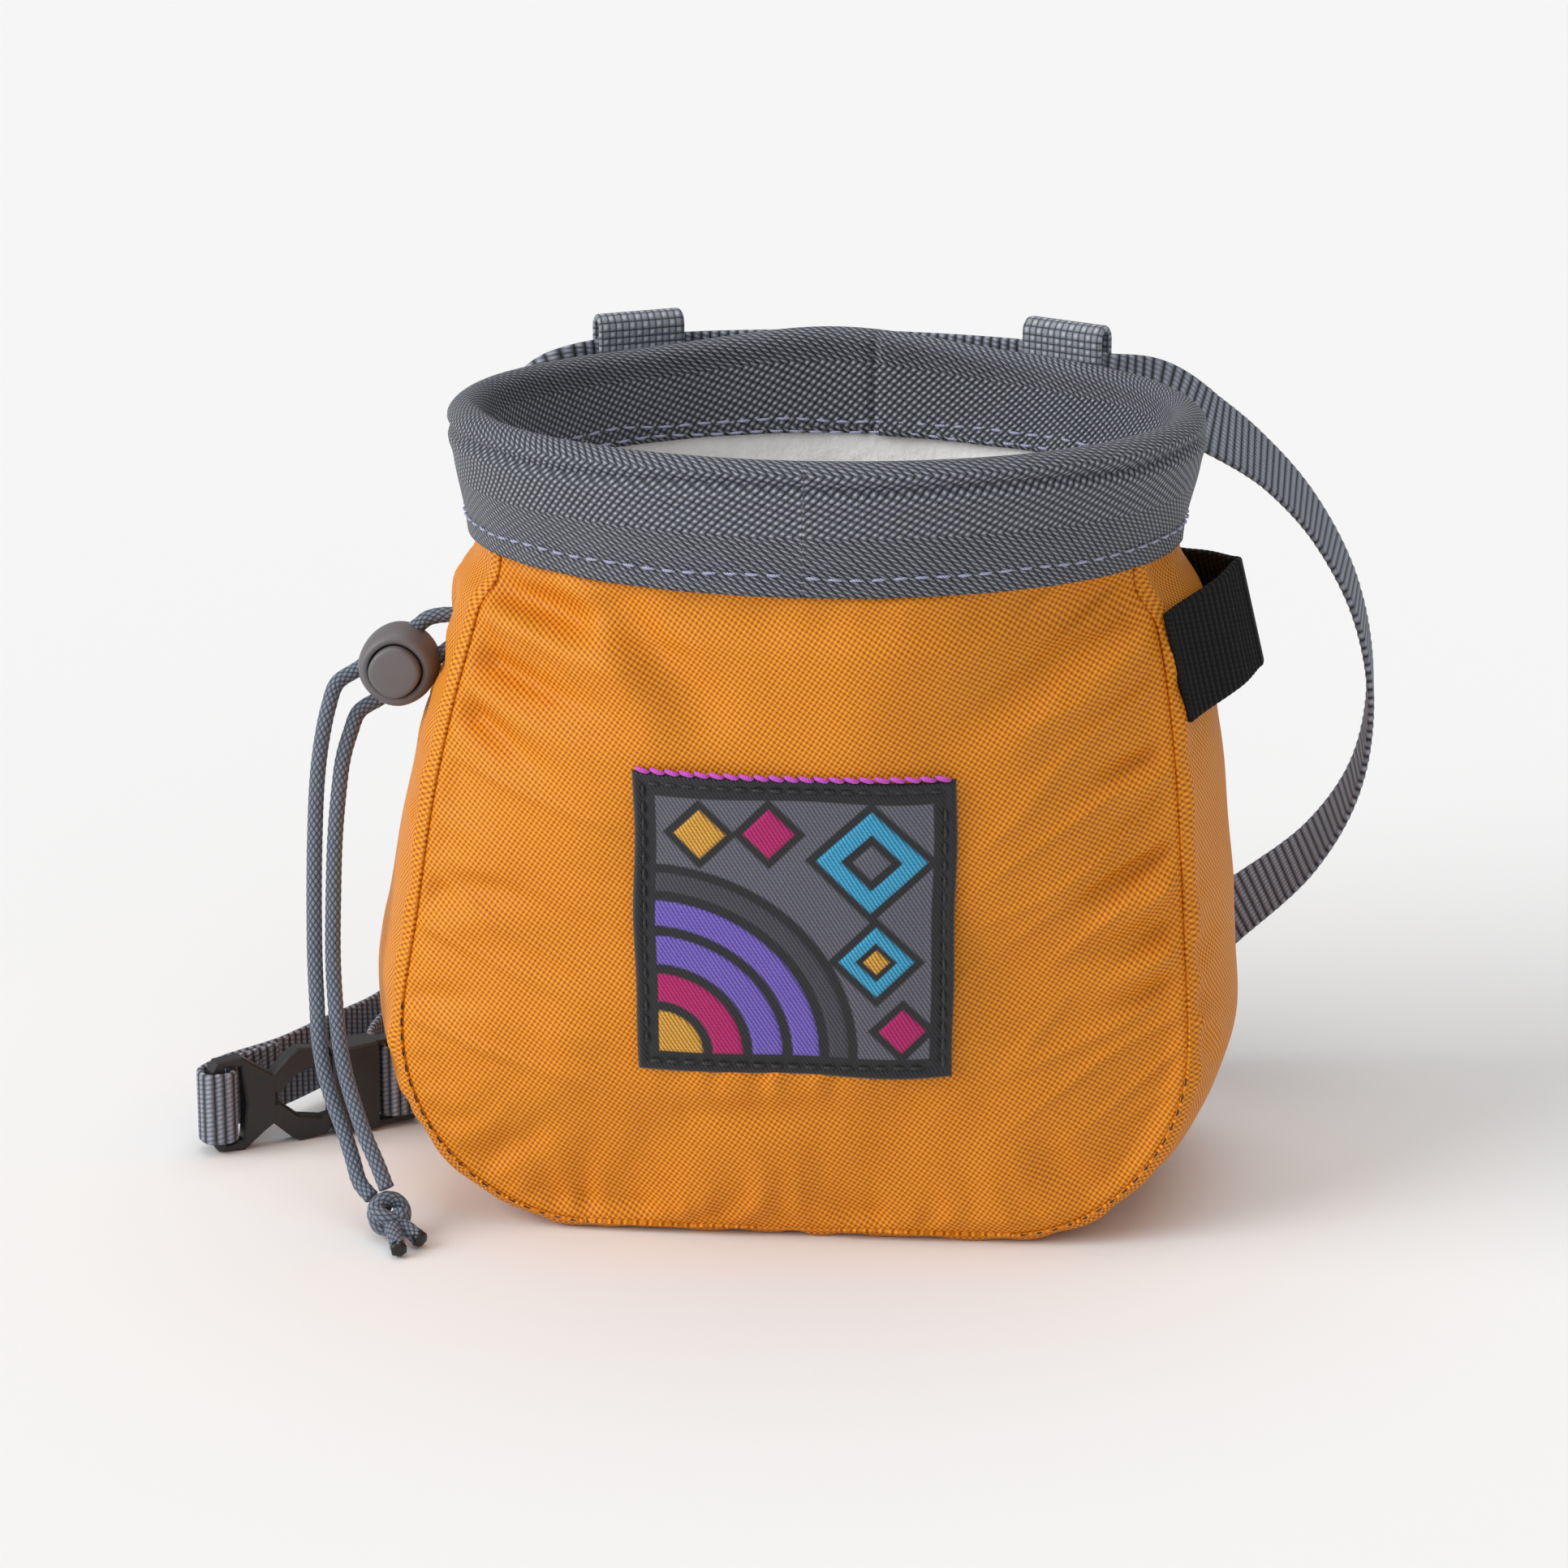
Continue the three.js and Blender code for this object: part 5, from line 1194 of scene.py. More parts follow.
    def gusset_object(self) -> bpy.types.Object:
        """The gusset as a dressed piece.

        Returns:
            The piece.
        """
        form = self.form
        z, half, out_x, out_z = form.outline(self.corner_steps, self.side_steps, self.hem_steps)
        base = np.linspace(-half[0], half[0], 82)[1:-1]
        count = len(z)
        side = np.concatenate([-np.ones(count), np.ones(len(base)), np.ones(count)])
        zs = np.concatenate([z[::-1], np.full(len(base), z[0]), z])
        halves = np.concatenate([half[::-1], base, half])
        xs = np.concatenate([out_x[::-1], base * 0, out_x])
        ups = np.concatenate([out_z[::-1], base * 0 - 1, out_z])
        t = np.linspace(-1, 1, self.gusset_columns + 1)
        along = 0.35 * t + 0.65 * np.sin(math.pi / 2 * t)
        grid = [np.repeat(a[:, None], len(along), 1) for a in (side, zs, halves, xs, ups)]
        aa = np.repeat(along[None, :], len(zs), 0)
        points = form.gusset(*grid, aa)
        middle = points[:, len(along) // 2]
        length = np.concatenate([[0.0], np.cumsum(np.linalg.norm(np.diff(middle, axis=0), axis=1))])
        lengths = np.repeat(length[:, None], len(along), 1)
        outward = np.stack([grid[0] * grid[3], aa * 0, grid[4]], -1)
        normals = grid_normals(points, outward)
        points = points + normals * self.gusset_relief(lengths, aa, grid[0], grid[1])[..., None]
        points[..., 2] = np.maximum(points[..., 2], self.cloth + 0.02)
        weave = np.stack([lengths, points[..., 1]], -1)
        piece = grid_object("gusset_cloth", points, weave)
        thicken(piece, self.cloth, 1.0)
        return dress(piece, self.finishes.nylon, BAG, ("gusset",))

    def seam_thread(self) -> bpy.types.Object:
        """Black thread that shows in the front seam, low on both sides.

        Returns:
            The piece.
        """
        form = self.form
        z, _, out_x, out_z = form.outline(40, 60, 2)
        runs = []
        for side, top in self.thread_tops:
            part = z < top
            edge = form.panel(-1, np.full(part.sum(), side * 0.999), z[part])
            facing = np.stack([side * out_x[part] * 0.6, np.full(part.sum(), -0.8), out_z[part] * 0.6], 1)
            seam = edge - facing * self.thread_sink
            runs.append(run_of(seam, facing, self.thread_pitch, self.thread_share))
        starts, ends, normals = (np.vstack(parts) for parts in zip(*runs))
        piece = stitches("seam_thread", starts, ends, normals, self.thread_radius, self.thread_arch)
        return dress(piece, self.finishes.black_thread)

    def build(self) -> None:
        """Builds the shell's pieces."""
        self.panel_object("front_cloth", -1, "front_panel")
        self.panel_object("back_cloth", 1, "back_panel")
        self.gusset_object()
        self.seam_thread()


@dataclass
class Rim:
    """The folded webbing round the mouth, with its lip roll, overlap and stitching."""

    form: BagForm
    finishes: Finishes
    around: int = 560
    mouth_radius: float = 62.0
    sandwich: float = 6.55
    inner_height: float = 18.2
    crease_drop: float = 4.6
    crease_depth: float = 1.5
    overlap_angle: float = math.pi - 0.105
    overlap_step: float = 0.8
    stitch_rise: float = 3.9
    stitch_pitch: float = 4.0
    stitch_share: float = 0.68
    thread_radius: float = 0.28
    thread_arch: float = 0.22
    inner_rows: tuple = (3.4, 1.0)

    def section_path(self) -> tuple[Array, Array, Array]:
        """The band's closed section: inset, height and place across the webbing.

        Returns:
            Insets, heights and weave places.
        """
        form = self.form
        t = form.band_thickness
        lip_centre = form.rim_height - self.sandwich / 2
        parts = []
        for layer, turned in ((0.0, False), (t, True)):
            radius = self.sandwich / 2 - layer
            up = np.linspace(form.band_low, lip_centre, 26)
            turn = np.linspace(0, math.pi, 17)[1:-1]
            down = np.linspace(lip_centre, form.rim_height - self.inner_height, 20)
            inset = np.concatenate([np.full(26, layer), self.sandwich / 2 - radius * np.cos(turn),
                                    np.full(20, self.sandwich - layer)])
            height = np.concatenate([up, lip_centre + radius * np.sin(turn), down])
            across = np.concatenate([[0.0], np.cumsum(np.hypot(np.diff(inset), np.diff(height)))])
            rows = np.stack([inset, height, across], 1)
            parts.append(rows[::-1] if turned else rows)
        whole = np.vstack(parts)
        return whole[:, 0], whole[:, 1], whole[:, 2]

    def build(self) -> None:
        """Builds the band and its stitches."""
        form = self.form
        inset, height, across = self.section_path()
        angle = np.linspace(0, 2 * math.pi, self.around, endpoint=False)
        hh, aa = np.meshgrid(height, angle, indexing="ij")
        ii = np.repeat(inset[:, None], self.around, 1)
        outside = smooth(-ii, -self.sandwich * 0.5, -self.sandwich * 0.2)
        inside = 1 - smooth(-ii, -self.sandwich * 0.8, -self.sandwich * 0.5)
        arc = aa * self.mouth_radius
        front = 0.35 + 0.65 * smooth(np.cos(aa), -0.3, 0.5)
        level = form.rim_height - self.crease_drop + 0.5 * ripples(arc, hh * 0, 45, 80)
        crease = self.crease_depth * front * bell(hh - level, 0.8)
        roll = 0.35 * front * bell(hh - level - 2.4, 1.5) + 0.55 * front * bell(hh - level + 2.2, 1.8)
        belly = 0.7 * bell(hh - (form.band_low + 12), 7) + 0.28 * ripples(arc, hh, 30, 81)
        pulled = 0.3 * bell(hh - (form.band_low + self.stitch_rise), 1.0)
        hem = 0.15 * ripples(arc, hh * 0, 9, 83) * bell(hh - form.band_low, 4)
        ii = ii + outside * (crease + pulled - roll - belly * 0.7 - hem)
        turn = np.angle(np.exp(1j * (aa - self.overlap_angle)))
        raised = self.overlap_step * smooth(-turn, -0.008, 0.004) * bell(np.minimum(turn, 0), 0.45)
        raised = raised - 0.9 * bell(turn - 0.014, 0.011)
        inner_hem = 0.3 * ripples(arc, hh * 0, 12, 85) * bell(hh - (form.rim_height - self.inner_height), 5)
        ii = ii + inside * (raised + inner_hem + 0.25 * ripples(arc, hh, 26, 87))
        points = form.rim_point(aa, np.minimum(hh, form.rim_height), ii)
        share = smooth(hh, form.band_low, form.rim_height)
        points[..., 2] = hh + form.lip_rise(points[..., 0], points[..., 1]) * share
        closed = np.append(across, across[0])
        whole_turn = np.linspace(0, 2 * math.pi, self.around + 1) * self.mouth_radius
        weave = np.stack(np.meshgrid(closed, whole_turn, indexing="ij"), -1)[..., ::-1]
        piece = grid_object("rim_binding", points, weave, (True, True))
        dress(piece, self.finishes.rim, BAG, ("rim_band",))
        self.sew()

    def sew(self) -> None:
        """Sews the band: one row outside and two rows inside."""
        form = self.form
        angle = np.linspace(0, 2 * math.pi, 720)
        rows = ((form.band_low + self.stitch_rise, 0.12, 1.0),
                (form.rim_height - self.inner_height + self.inner_rows[0], self.sandwich + 0.1, -1.0),
                (form.rim_height - self.inner_height + self.inner_rows[1], self.sandwich + 0.1, -1.0))
        runs = []
        for level, inset, way in rows:
            line = form.rim_point(angle, np.full(720, level), np.full(720, inset))
            line[:, 2] += 0.35 * ripples(angle * self.mouth_radius, angle * 0, 22, int(level))
            normals = form.rim_point(angle, np.full(720, level), np.full(720, inset - way)) - line
            runs.append(run_of(line, normals, self.stitch_pitch, self.stitch_share))
        starts, ends, normals = (np.vstack(parts) for parts in zip(*runs))
        piece = stitches("rim_stitches", starts, ends, normals, self.thread_radius, self.thread_arch)
        dress(piece, self.finishes.pale_thread)


@dataclass
class Lining:
    """The fleece pot inside the shell."""

    form: BagForm
    finishes: Finishes
    around: int = 220
    thickness: float = 1.8
    inset: float = 5.9
    hem_inset: float = 5.3
    calm_above: float = 133.0
    top: float = 148.0
    floor_draw: float = 5.0
    floor_level: float = 6.0
    floor_reach: float = 10.0
    floor_rings: tuple = (0.8, 0.6, 0.4, 0.2, 0.03)
    bulge_share: float = 0.8
    mean_radius: float = 55.0

    def ring(self, z: float) -> Array:
        """The pot's inner surface at a height.

        Args:
            z: The height.

        Returns:
            The ring's points.
        """
        form = self.form
        angle = np.linspace(0, 2 * math.pi, self.around, endpoint=False)
        seam_angle = math.asin(form.rim_seam_share)
        turn_radius = form.corner_radius - self.inset
        drop = min(max(form.arc_top - z, 0.0), turn_radius)
        wide_in = turn_radius - math.sqrt(max(turn_radius ** 2 - drop ** 2, 0.0))
        level = np.full(self.around, z)
        share = float(form.panel_share(z))
        rim = form.rim_point(angle, level, np.full(self.around, self.hem_inset))
        seam_depth = float(form.section("seam_depth", z)) * form.base_half_depth
        half = float(form.section("seam", max(z, form.arc_top))) * form.seam_half_width
        lower = self.floor_draw * max(0.0, 1 - (z - self.floor_level) / self.floor_reach)
        on_panel = np.abs(np.cos(angle)) >= math.cos(seam_angle)
        facing = np.where(np.cos(angle) > 0, -1.0, 1.0)
        across = np.clip(np.sin(angle) / form.rim_seam_share, -1, 1)
        crown = np.where(facing < 0, form.section("front", z), form.section("back", z)) * form.rim_half_depth
        depth = seam_depth + (crown - seam_depth) * (1 - np.abs(across) ** form.panel_power)
        along = np.clip(-np.cos(angle) / math.cos(seam_angle), -1, 1)
        bulge = form.gusset_bulge * float(form.section("bulge", z)) * (1 - along ** 2) * self.bulge_share
        x = np.where(on_panel, across * (half - self.inset - wide_in),
                     np.sign(np.sin(angle)) * (half + bulge - self.inset - wide_in))
        drawn = self.inset + lower
        y = np.where(on_panel, facing * (depth - drawn), along * (seam_depth - drawn))
        body = np.stack([x + float(form.lean(z)), y, level], 1)
        return rim * (1 - share) + body * share

    def build(self) -> None:
        """Builds the pot and its floor."""
        form = self.form
        turn = np.linspace(0, 1, 26)
        low = form.arc_top - (form.corner_radius - self.inset) * np.sin(turn * math.pi / 2)
        levels = np.concatenate([np.linspace(self.top, form.arc_top, 84)[:-1], low])
        rings = [self.ring(float(z)) for z in levels]
        floor = rings[-1].mean(0)
        sunk = np.array([0, 0, -0.1])
        rings += [floor + (rings[-1] - floor) * share + sunk for share in self.floor_rings]
        points = np.array(rings)
        normals = grid_normals(points, unit(np.array([0, 0, 75.0]) - points))
        arc = np.linspace(0, 2 * math.pi, self.around, endpoint=False)[None, :] * self.mean_radius
        depth = points[..., 2]
        tufts = 0.5 * ripples(points[..., 0], depth + points[..., 1], 9, 91)
        tufts = tufts + 0.28 * ripples(arc, depth, 3.2, 93)
        tufts = tufts * smooth(-depth, -self.calm_above - 3, -self.calm_above + 3)
        points = points + normals * tufts[..., None]
        along = np.linspace(0, 2 * math.pi * self.mean_radius, self.around + 1)
        weave = np.stack(np.meshgrid(np.arange(len(points)) * 1.6, along, indexing="ij"), -1)
        piece = grid_object("fleece_pot", points, weave, (False, True))
        thicken(piece, self.thickness, -1.0)
        dress(piece, self.finishes.fleece, BAG, ("fleece_lining",))


@dataclass
class Straps:
    """The waist belt, its two loops and the brush loop."""

    form: BagForm
    finishes: Finishes
    gap: float = 0.3
    belt_width: float = 15.0
    belt_thickness: float = 1.3
    loop_width: float = 18.0
    loop_thickness: float = 1.5
    loop_slack: float = 0.55
    loop_places: tuple = (-40.0, 43.0)
    loop_rise: float = 6.5
    loop_drop: float = 19.0
    brush_width: float = 22.0
    brush_thickness: float = 1.5
    brush_reach: float = 8.5
    brush_level: float = 113.0
    brush_seat: float = 0.9
    brush_span: float = 0.98
    belt_drop: float = 6.0
    bar_thickness: float = 3.4
    strap_slot: float = 3.4
    male_bar: float = 3.0
    female_bar: float = 5.5
    female_end: float = 35.0
    buckle_place: tuple = (-121.4, -3.9, 10.0)
    buckle_turn: float = 30.0
    # slots, bars, wraps: shares of the strap slot, the bar and the wrap
    male_turn: tuple = (
        (4.41, 1, -3.85), (2.65, 1, -3.06), (1.29, 1, -2.38), (0.59, 1, -1.36), (0.52, 1, 0), (0.38, 1, 0.81),
        (0, 0.93, 1.04), (0, 0.4, 1), (0, -0.2, 0.81), (0, -0.45, 0.11), (0, -0.33, -0.98), (0, 0.53, -1.89),
        (0.71, 1, -2.79),
    )
    female_turn: tuple = (
        (1, 1.84, 0.7), (1, 1.27, 1.08), (1, 0.64, 1.04), (1, 0.16, 1.04), (0.76, 0, 0.81), (0.5, 0, 0),
        (0.47, 0, -1.36), (0.85, 0, -3.4), (2.7, 0, -6.8), (4.76, 0, -9.4),
    )
    # side, back, rise, tilt: shares of the seam's half width, the rim's half depth, the belt's height
    left_route: tuple = (
        (-1.461, 0.314, 0.0174, 0), (-1.362, 0.571, 0.0174, 0), (-1.243, 0.876, 0.0188, 0),
        (-1.138, 1.029, 0.0488, 0), (-1.053, 1.095, 0.122, 0), (-0.993, 1.105, 0.2334, 0),
        (-0.947, 1.086, 0.3659, 0), (-0.908, 1.048, 0.5052, 0), (-0.868, 0.981, 0.6446, 0),
        (-0.839, 0.914, 0.77, 0), (-0.82, 0.848, 0.8606, 0), (-0.796, 0.796, 0.9268, 0),
        (-0.755, 0.77, 0.9693, 0),
    )
    right_route: tuple = (
        (0.853, 0.83, 0.9847, 26), (0.996, 0.884, 0.9415, 48), (1.134, 0.981, 0.8815, 62),
        (1.275, 1.067, 0.7916, 68), (1.389, 1.105, 0.6732, 72), (1.438, 1.143, 0.5359, 75),
        (1.407, 1.171, 0.4049, 72), (1.293, 1.19, 0.2941, 62), (1.082, 1.2, 0.1902, 48),
        (0.842, 1.171, 0.0941, 28), (0.553, 1.124, 0.023, 10), (0.197, 1.086, 0.0035, 0),
        (-0.263, 1.067, 0.0035, 0), (-0.632, 1.029, 0.0035, 0), (-0.868, 0.933, 0.0063, 0),
        (-1, 0.733, 0.0118, 0), (-1.026, 0.514, 0.0174, 0),
    )
    # aside, along, drop: a share of the loop's place, a share of its width, a drop
    rim_route: tuple = (
        (-1, -0.85, 1.2), (-1, -0.5, 0.1), (-1, 0, 0), (-1, 0.55, 0), (-0.42, 0, 0), (0, 0, 0), (0.42, 0, 0),
        (1, -0.55, 0), (1, 0, 0), (1, 0.55, 0.4),
    )
    # out, along: shares of the way to the brush loop's fold and from its front seam to its back one
    brush_route: tuple = (
        (0, 0), (0.161, 0.087), (0.72, 0.346), (0.934, 0.527), (0.993, 0.57), (0.89, 0.61), (0.55, 0.758),
        (0.12, 0.899), (0, 1),
    )

    def buckle_point(self, u: float, v: float) -> list[float]:
        """A place in the buckle's own plane, u along it and v towards the front."""
        turn = math.radians(self.buckle_turn)
        x, y, z = self.buckle_place
        return [x + u * math.cos(turn) + v * math.sin(turn), y + u * math.sin(turn) - v * math.cos(turn), z]

    def rim_back(self, x: float) -> tuple[Array, Array]:
        """The rim's outside at the back, at an x from its middle.

        Args:
            x: The place across.

        Returns:
            The point and the way it faces.
        """
        form = self.form
        z = form.rim_height * 0.96
        wide = float(form.ring_columns["wide"](0.96)) * form.rim_half_width
        angle = math.pi - math.asin(x / wide)
        place = form.rim_point(angle, z, 0.0)
        outward = form.rim_point(angle, z, -1.0) - place
        outward[2] = 0
        return place, unit(outward)

    def turn_round(self, rows: tuple, start: float, bar: float) -> list:
        """A turn of the belt round a strap bar.

        Args:
            rows: The turn's table.
            start: Where the slot's side of the bar starts along the buckle.
            bar: The bar's length.

        Returns:
            The points.
        """
        wrap = self.bar_thickness / 2 + self.belt_thickness / 2 + self.gap
        return [self.buckle_point(start + slots * self.strap_slot + bars * bar, wraps * wrap)
                for slots, bars, wraps in rows]

    def belt_route(self) -> tuple[list, list]:
        """The belt's route from the male half round to the female half.

        Returns:
            The points, and the tilt of the belt's width at each, in degrees.
        """
        middle = self.form.rim_height - self.belt_drop
        rest = self.belt_width / 2

        def free(rows: tuple) -> list:
            """Points of a free length."""
            return [[side * self.form.seam_half_width, back * self.form.rim_half_depth,
                     rest + rise * (middle - rest)] for side, back, rise, _ in rows]
        off = self.gap + self.loop_thickness + self.loop_slack + self.belt_thickness / 2
        rim = []
        for aside, along, drop in self.rim_route:
            left, right = self.loop_places
            place, outward = self.rim_back(-aside * left if aside < 0 else aside * right)
            tangent = np.array([outward[1], -outward[0], 0.0])
            at = place + outward * off + tangent * along * self.loop_width
            rim.append([at[0], at[1], middle - drop])
        male = self.turn_round(self.male_turn, 0.0, self.male_bar)
        female = self.turn_round(self.female_turn, self.female_end, self.female_bar)
        points = male + free(self.left_route) + rim + free(self.right_route) + female
        tilts = [0.0] * len(male) + [row[3] for row in self.left_route] + [0.0] * len(rim)
        tilts += [row[3] for row in self.right_route] + [0.0] * len(female)
        return points, tilts

    def belt(self) -> None:
        """Builds the belt."""
        points, tilts = self.belt_route()
        per = 24
        line = through(points, per)
        tilt = np.interp(np.arange(len(line)) / per, np.arange(len(tilts)), np.radians(tilts))
        steps = np.concatenate([[0.0], np.cumsum(np.linalg.norm(np.diff(line, axis=0), axis=1))])
        fine = resample(line, 0.62)
        at = np.linspace(0, steps[-1], len(fine))
        tilt = np.interp(at, steps, tilt)
        across = np.stack([tilt * 0, np.sin(tilt), np.cos(tilt)], 1)
        grid, weave = strap_grid(fine, across, self.belt_width, self.belt_thickness, 0.16)
        piece = grid_object("belt_strap", grid, weave, (False, True), caps=True)
        dress(piece, self.finishes.rib, BAG, ("waist_belt",))

    def belt_loop(self, name: str, x: float, node: str) -> None:
        """Builds one hoop of webbing behind the rim.

        Args:
            name: The piece's name.
            x: The loop's place across.
            node: The CAD node that it stands for.
        """
        place, outward = self.rim_back(x)
        high = self.form.rim_height + self.loop_rise
        low = self.form.rim_height - self.loop_drop
        depth = self.belt_thickness + 2 * self.loop_slack + 2 * self.loop_thickness
        thin = self.loop_thickness / 2
        bend = depth / 2 - thin
        turn = np.linspace(0, math.pi, 11)
        up = np.linspace(low + bend + thin, high - bend - thin, 30)
        over = np.stack([depth / 2 - bend * np.cos(turn), high - bend - thin + bend * np.sin(turn)], 1)
        under = np.stack([depth / 2 + bend * np.cos(turn), low + bend + thin - bend * np.sin(turn)], 1)
        near = np.stack([up * 0 + thin, up], 1)
        far = np.stack([up * 0 + depth - thin, up[::-1]], 1)
        path = np.vstack([near, over[1:], far[1:], under[1:-1]])
        line = np.stack([place[0] + outward[0] * (self.gap + path[:, 0]),
                         place[1] + outward[1] * (self.gap + path[:, 0]), path[:, 1]], 1)
        closed = np.vstack([line, line[:1]])
        fine = resample(closed, 0.8)[:-1]
        tangent = np.array([outward[1], -outward[0], 0.0])
        across = np.repeat(tangent[None, :], len(fine), 0)
        grid, weave = strap_grid(fine, across, self.loop_width, self.loop_thickness, 0.06)
        weave = np.concatenate([weave, weave[-1:] + np.array([0.8, 0.0])], 0)
        piece = grid_object(name, grid, weave, (True, True))
        dress(piece, self.finishes.basket, BAG, (node,))

    def brush_loop(self) -> None:
        """Builds the brush loop on the right gusset."""
        form = self.form

        def at(level: float, along: float) -> Array:
            """A place of the right gusset."""
            z = np.array([level])
            return form.gusset(np.ones(1), z, form.seam(z), np.ones(1), np.zeros(1), np.array([along]))[0]
        half = self.brush_width / 2
        across = unit(at(self.brush_level + half, 0.0) - at(self.brush_level - half, 0.0))
        outward = np.array([across[2], 0.0, -across[0]])
        front, back = at(self.brush_level, -self.brush_span), at(self.brush_level, self.brush_span)
        seam_x = front[0] + self.brush_thickness / 2 + self.gap + self.brush_seat
        fold_x = at(self.brush_level, 0.0)[0] + self.brush_reach
        route = []
        for out, along in self.brush_route:
            place = np.array([seam_x, 0.0, self.brush_level]) + outward * out * (fold_x - seam_x)
            route.append([place[0], front[1] + along * (back[1] - front[1]), place[2]])
        fine = resample(through(route, 16), 0.5)
        across = np.repeat(across[None, :], len(fine), 0)
        grid, weave = strap_grid(fine, across, self.brush_width, self.brush_thickness, 0.22)
        piece = grid_object("brush_strap", grid, weave, (False, True), caps=True)
        dress(piece, self.finishes.black_rib, BAG, ("brush_loop",))

    def bar_tack(self) -> None:
        """Sews the pale bar tack across the belt behind the buckle."""
        start = np.array(self.buckle_point(12, -9.4))
        turn = math.radians(self.buckle_turn)
        away = np.array([-math.sin(turn), math.cos(turn), 0.0])
        rows = []
        for i in range(9):
            foot = start + np.array([0.35 * i - 1.4, 0.1 * i, 0.0])
            for side in (-1, 1):
                low = foot + np.array([0, 0, -6.2]) - away * 0.9 * side
                rows.append((low, low + np.array([0.25, 0.1, 12.4]), -away * side))
        starts, ends, normals = (np.array(part) for part in zip(*rows))
        piece = stitches("belt_bar_tack", starts, ends, normals, 0.24, 0.2)
        dress(piece, self.finishes.pale_thread)

    def build(self) -> None:
        """Builds every strap."""
        self.belt()
        self.belt_loop("left_belt_hoop", self.loop_places[0], "belt_loop_left")
        self.belt_loop("right_belt_hoop", self.loop_places[1], "belt_loop_right")
        self.brush_loop()
        self.bar_tack()


@dataclass
class CordLock:
    """The spring cord lock's drum and button."""

    finishes: Finishes
    centre: tuple = (-80.9, -2.0, 103.4)
    radius: float = 7.8
    depth: float = 13.0
    button_radius: float = 5.0
    button_depth: float = 3.4
    button_proud: float = 1.9
    sides: int = 72

    def turned(self, name: str, profile: list[tuple[float, float]], swell: float = 0.0) -> bpy.types.Object:
        """A turned form whose axis faces the front.

        Args:
            name: The piece's name.
            profile: Radius and depth along the axis, closed on the axis at both ends.
            swell: How much squarer than round it is.

        Returns:
            The object.
        """
        rings = np.array(profile, float)
        turn = np.linspace(0, 2 * math.pi, self.sides, endpoint=False)
        out = 1 + swell * np.cos(4 * turn)
        x = self.centre[0] + rings[:, :1] * np.cos(turn)[None, :] * out
        z = self.centre[2] + rings[:, :1] * np.sin(turn)[None, :] * out
        y = self.centre[1] + np.repeat(rings[:, 1:], self.sides, 1)
        grid = np.stack([x, y, z], -1)
        weave = np.zeros((len(rings), self.sides + 1, 2))
        return grid_object(name, grid, weave, (False, True), caps=True)

    def build(self) -> None:
        """Builds the drum and the button."""
        r, front, back = self.radius, -0.52 * self.depth, 0.48 * self.depth
        well = self.button_radius + 0.3
        drum = [(0.02, front + 4.7), (well - 0.1, front + 4.7), (well, front + 4.5), (well, front + 0.5),
                (well + 0.15, front + 0.12), (well + 0.5, front), (r * 0.80, front), (r * 0.87, front + 0.35),
                (r * 0.93, front + 1.1), (r * 0.945, front + 1.9), (r * 0.955, front + 2.1),
                (r * 0.985, front + 3.2), (r, front + 5.2), (r, front + 7.6), (r * 0.96, front + 9.4),
                (r * 0.86, back - 1.2),
                (r * 0.72, back - 0.35), (r * 0.6, back), (0.02, back)]
        piece = self.turned("lock_drum", self.rounded(drum), 0.012)
        dress(piece, self.finishes.grey_plastic, BAG, ("cord_lock_body",))
        face = front - self.button_proud
        rear = face + self.button_depth
        b = self.button_radius
        button = [(0.02, rear), (b * 0.97, rear), (b, rear - 0.3), (b, face + 0.9), (b * 0.985, face + 0.45),
                  (b * 0.93, face + 0.14), (b * 0.84, face), (b * 0.5, face - 0.1), (0.02, face - 0.14)]
        piece = self.turned("lock_push", self.rounded(button), 0.018)
        dress(piece, self.finishes.grey_plastic, BUTTON, ("cord_lock_button",))

    @staticmethod
    def rounded(profile: list[tuple[float, float]]) -> list[tuple[float, float]]:
        """A profile with each corner cut twice, so that it shades softly."""
        for _ in range(2):
            cut = [profile[0]]
            for (r0, y0), (r1, y1) in zip(profile, profile[1:]):
                for near, far in ((0.85, 0.15), (0.15, 0.85)):
                    cut.append((r0 * near + r1 * far, y0 * near + y1 * far))
            cut.append(profile[-1])
            profile = cut
        return profile


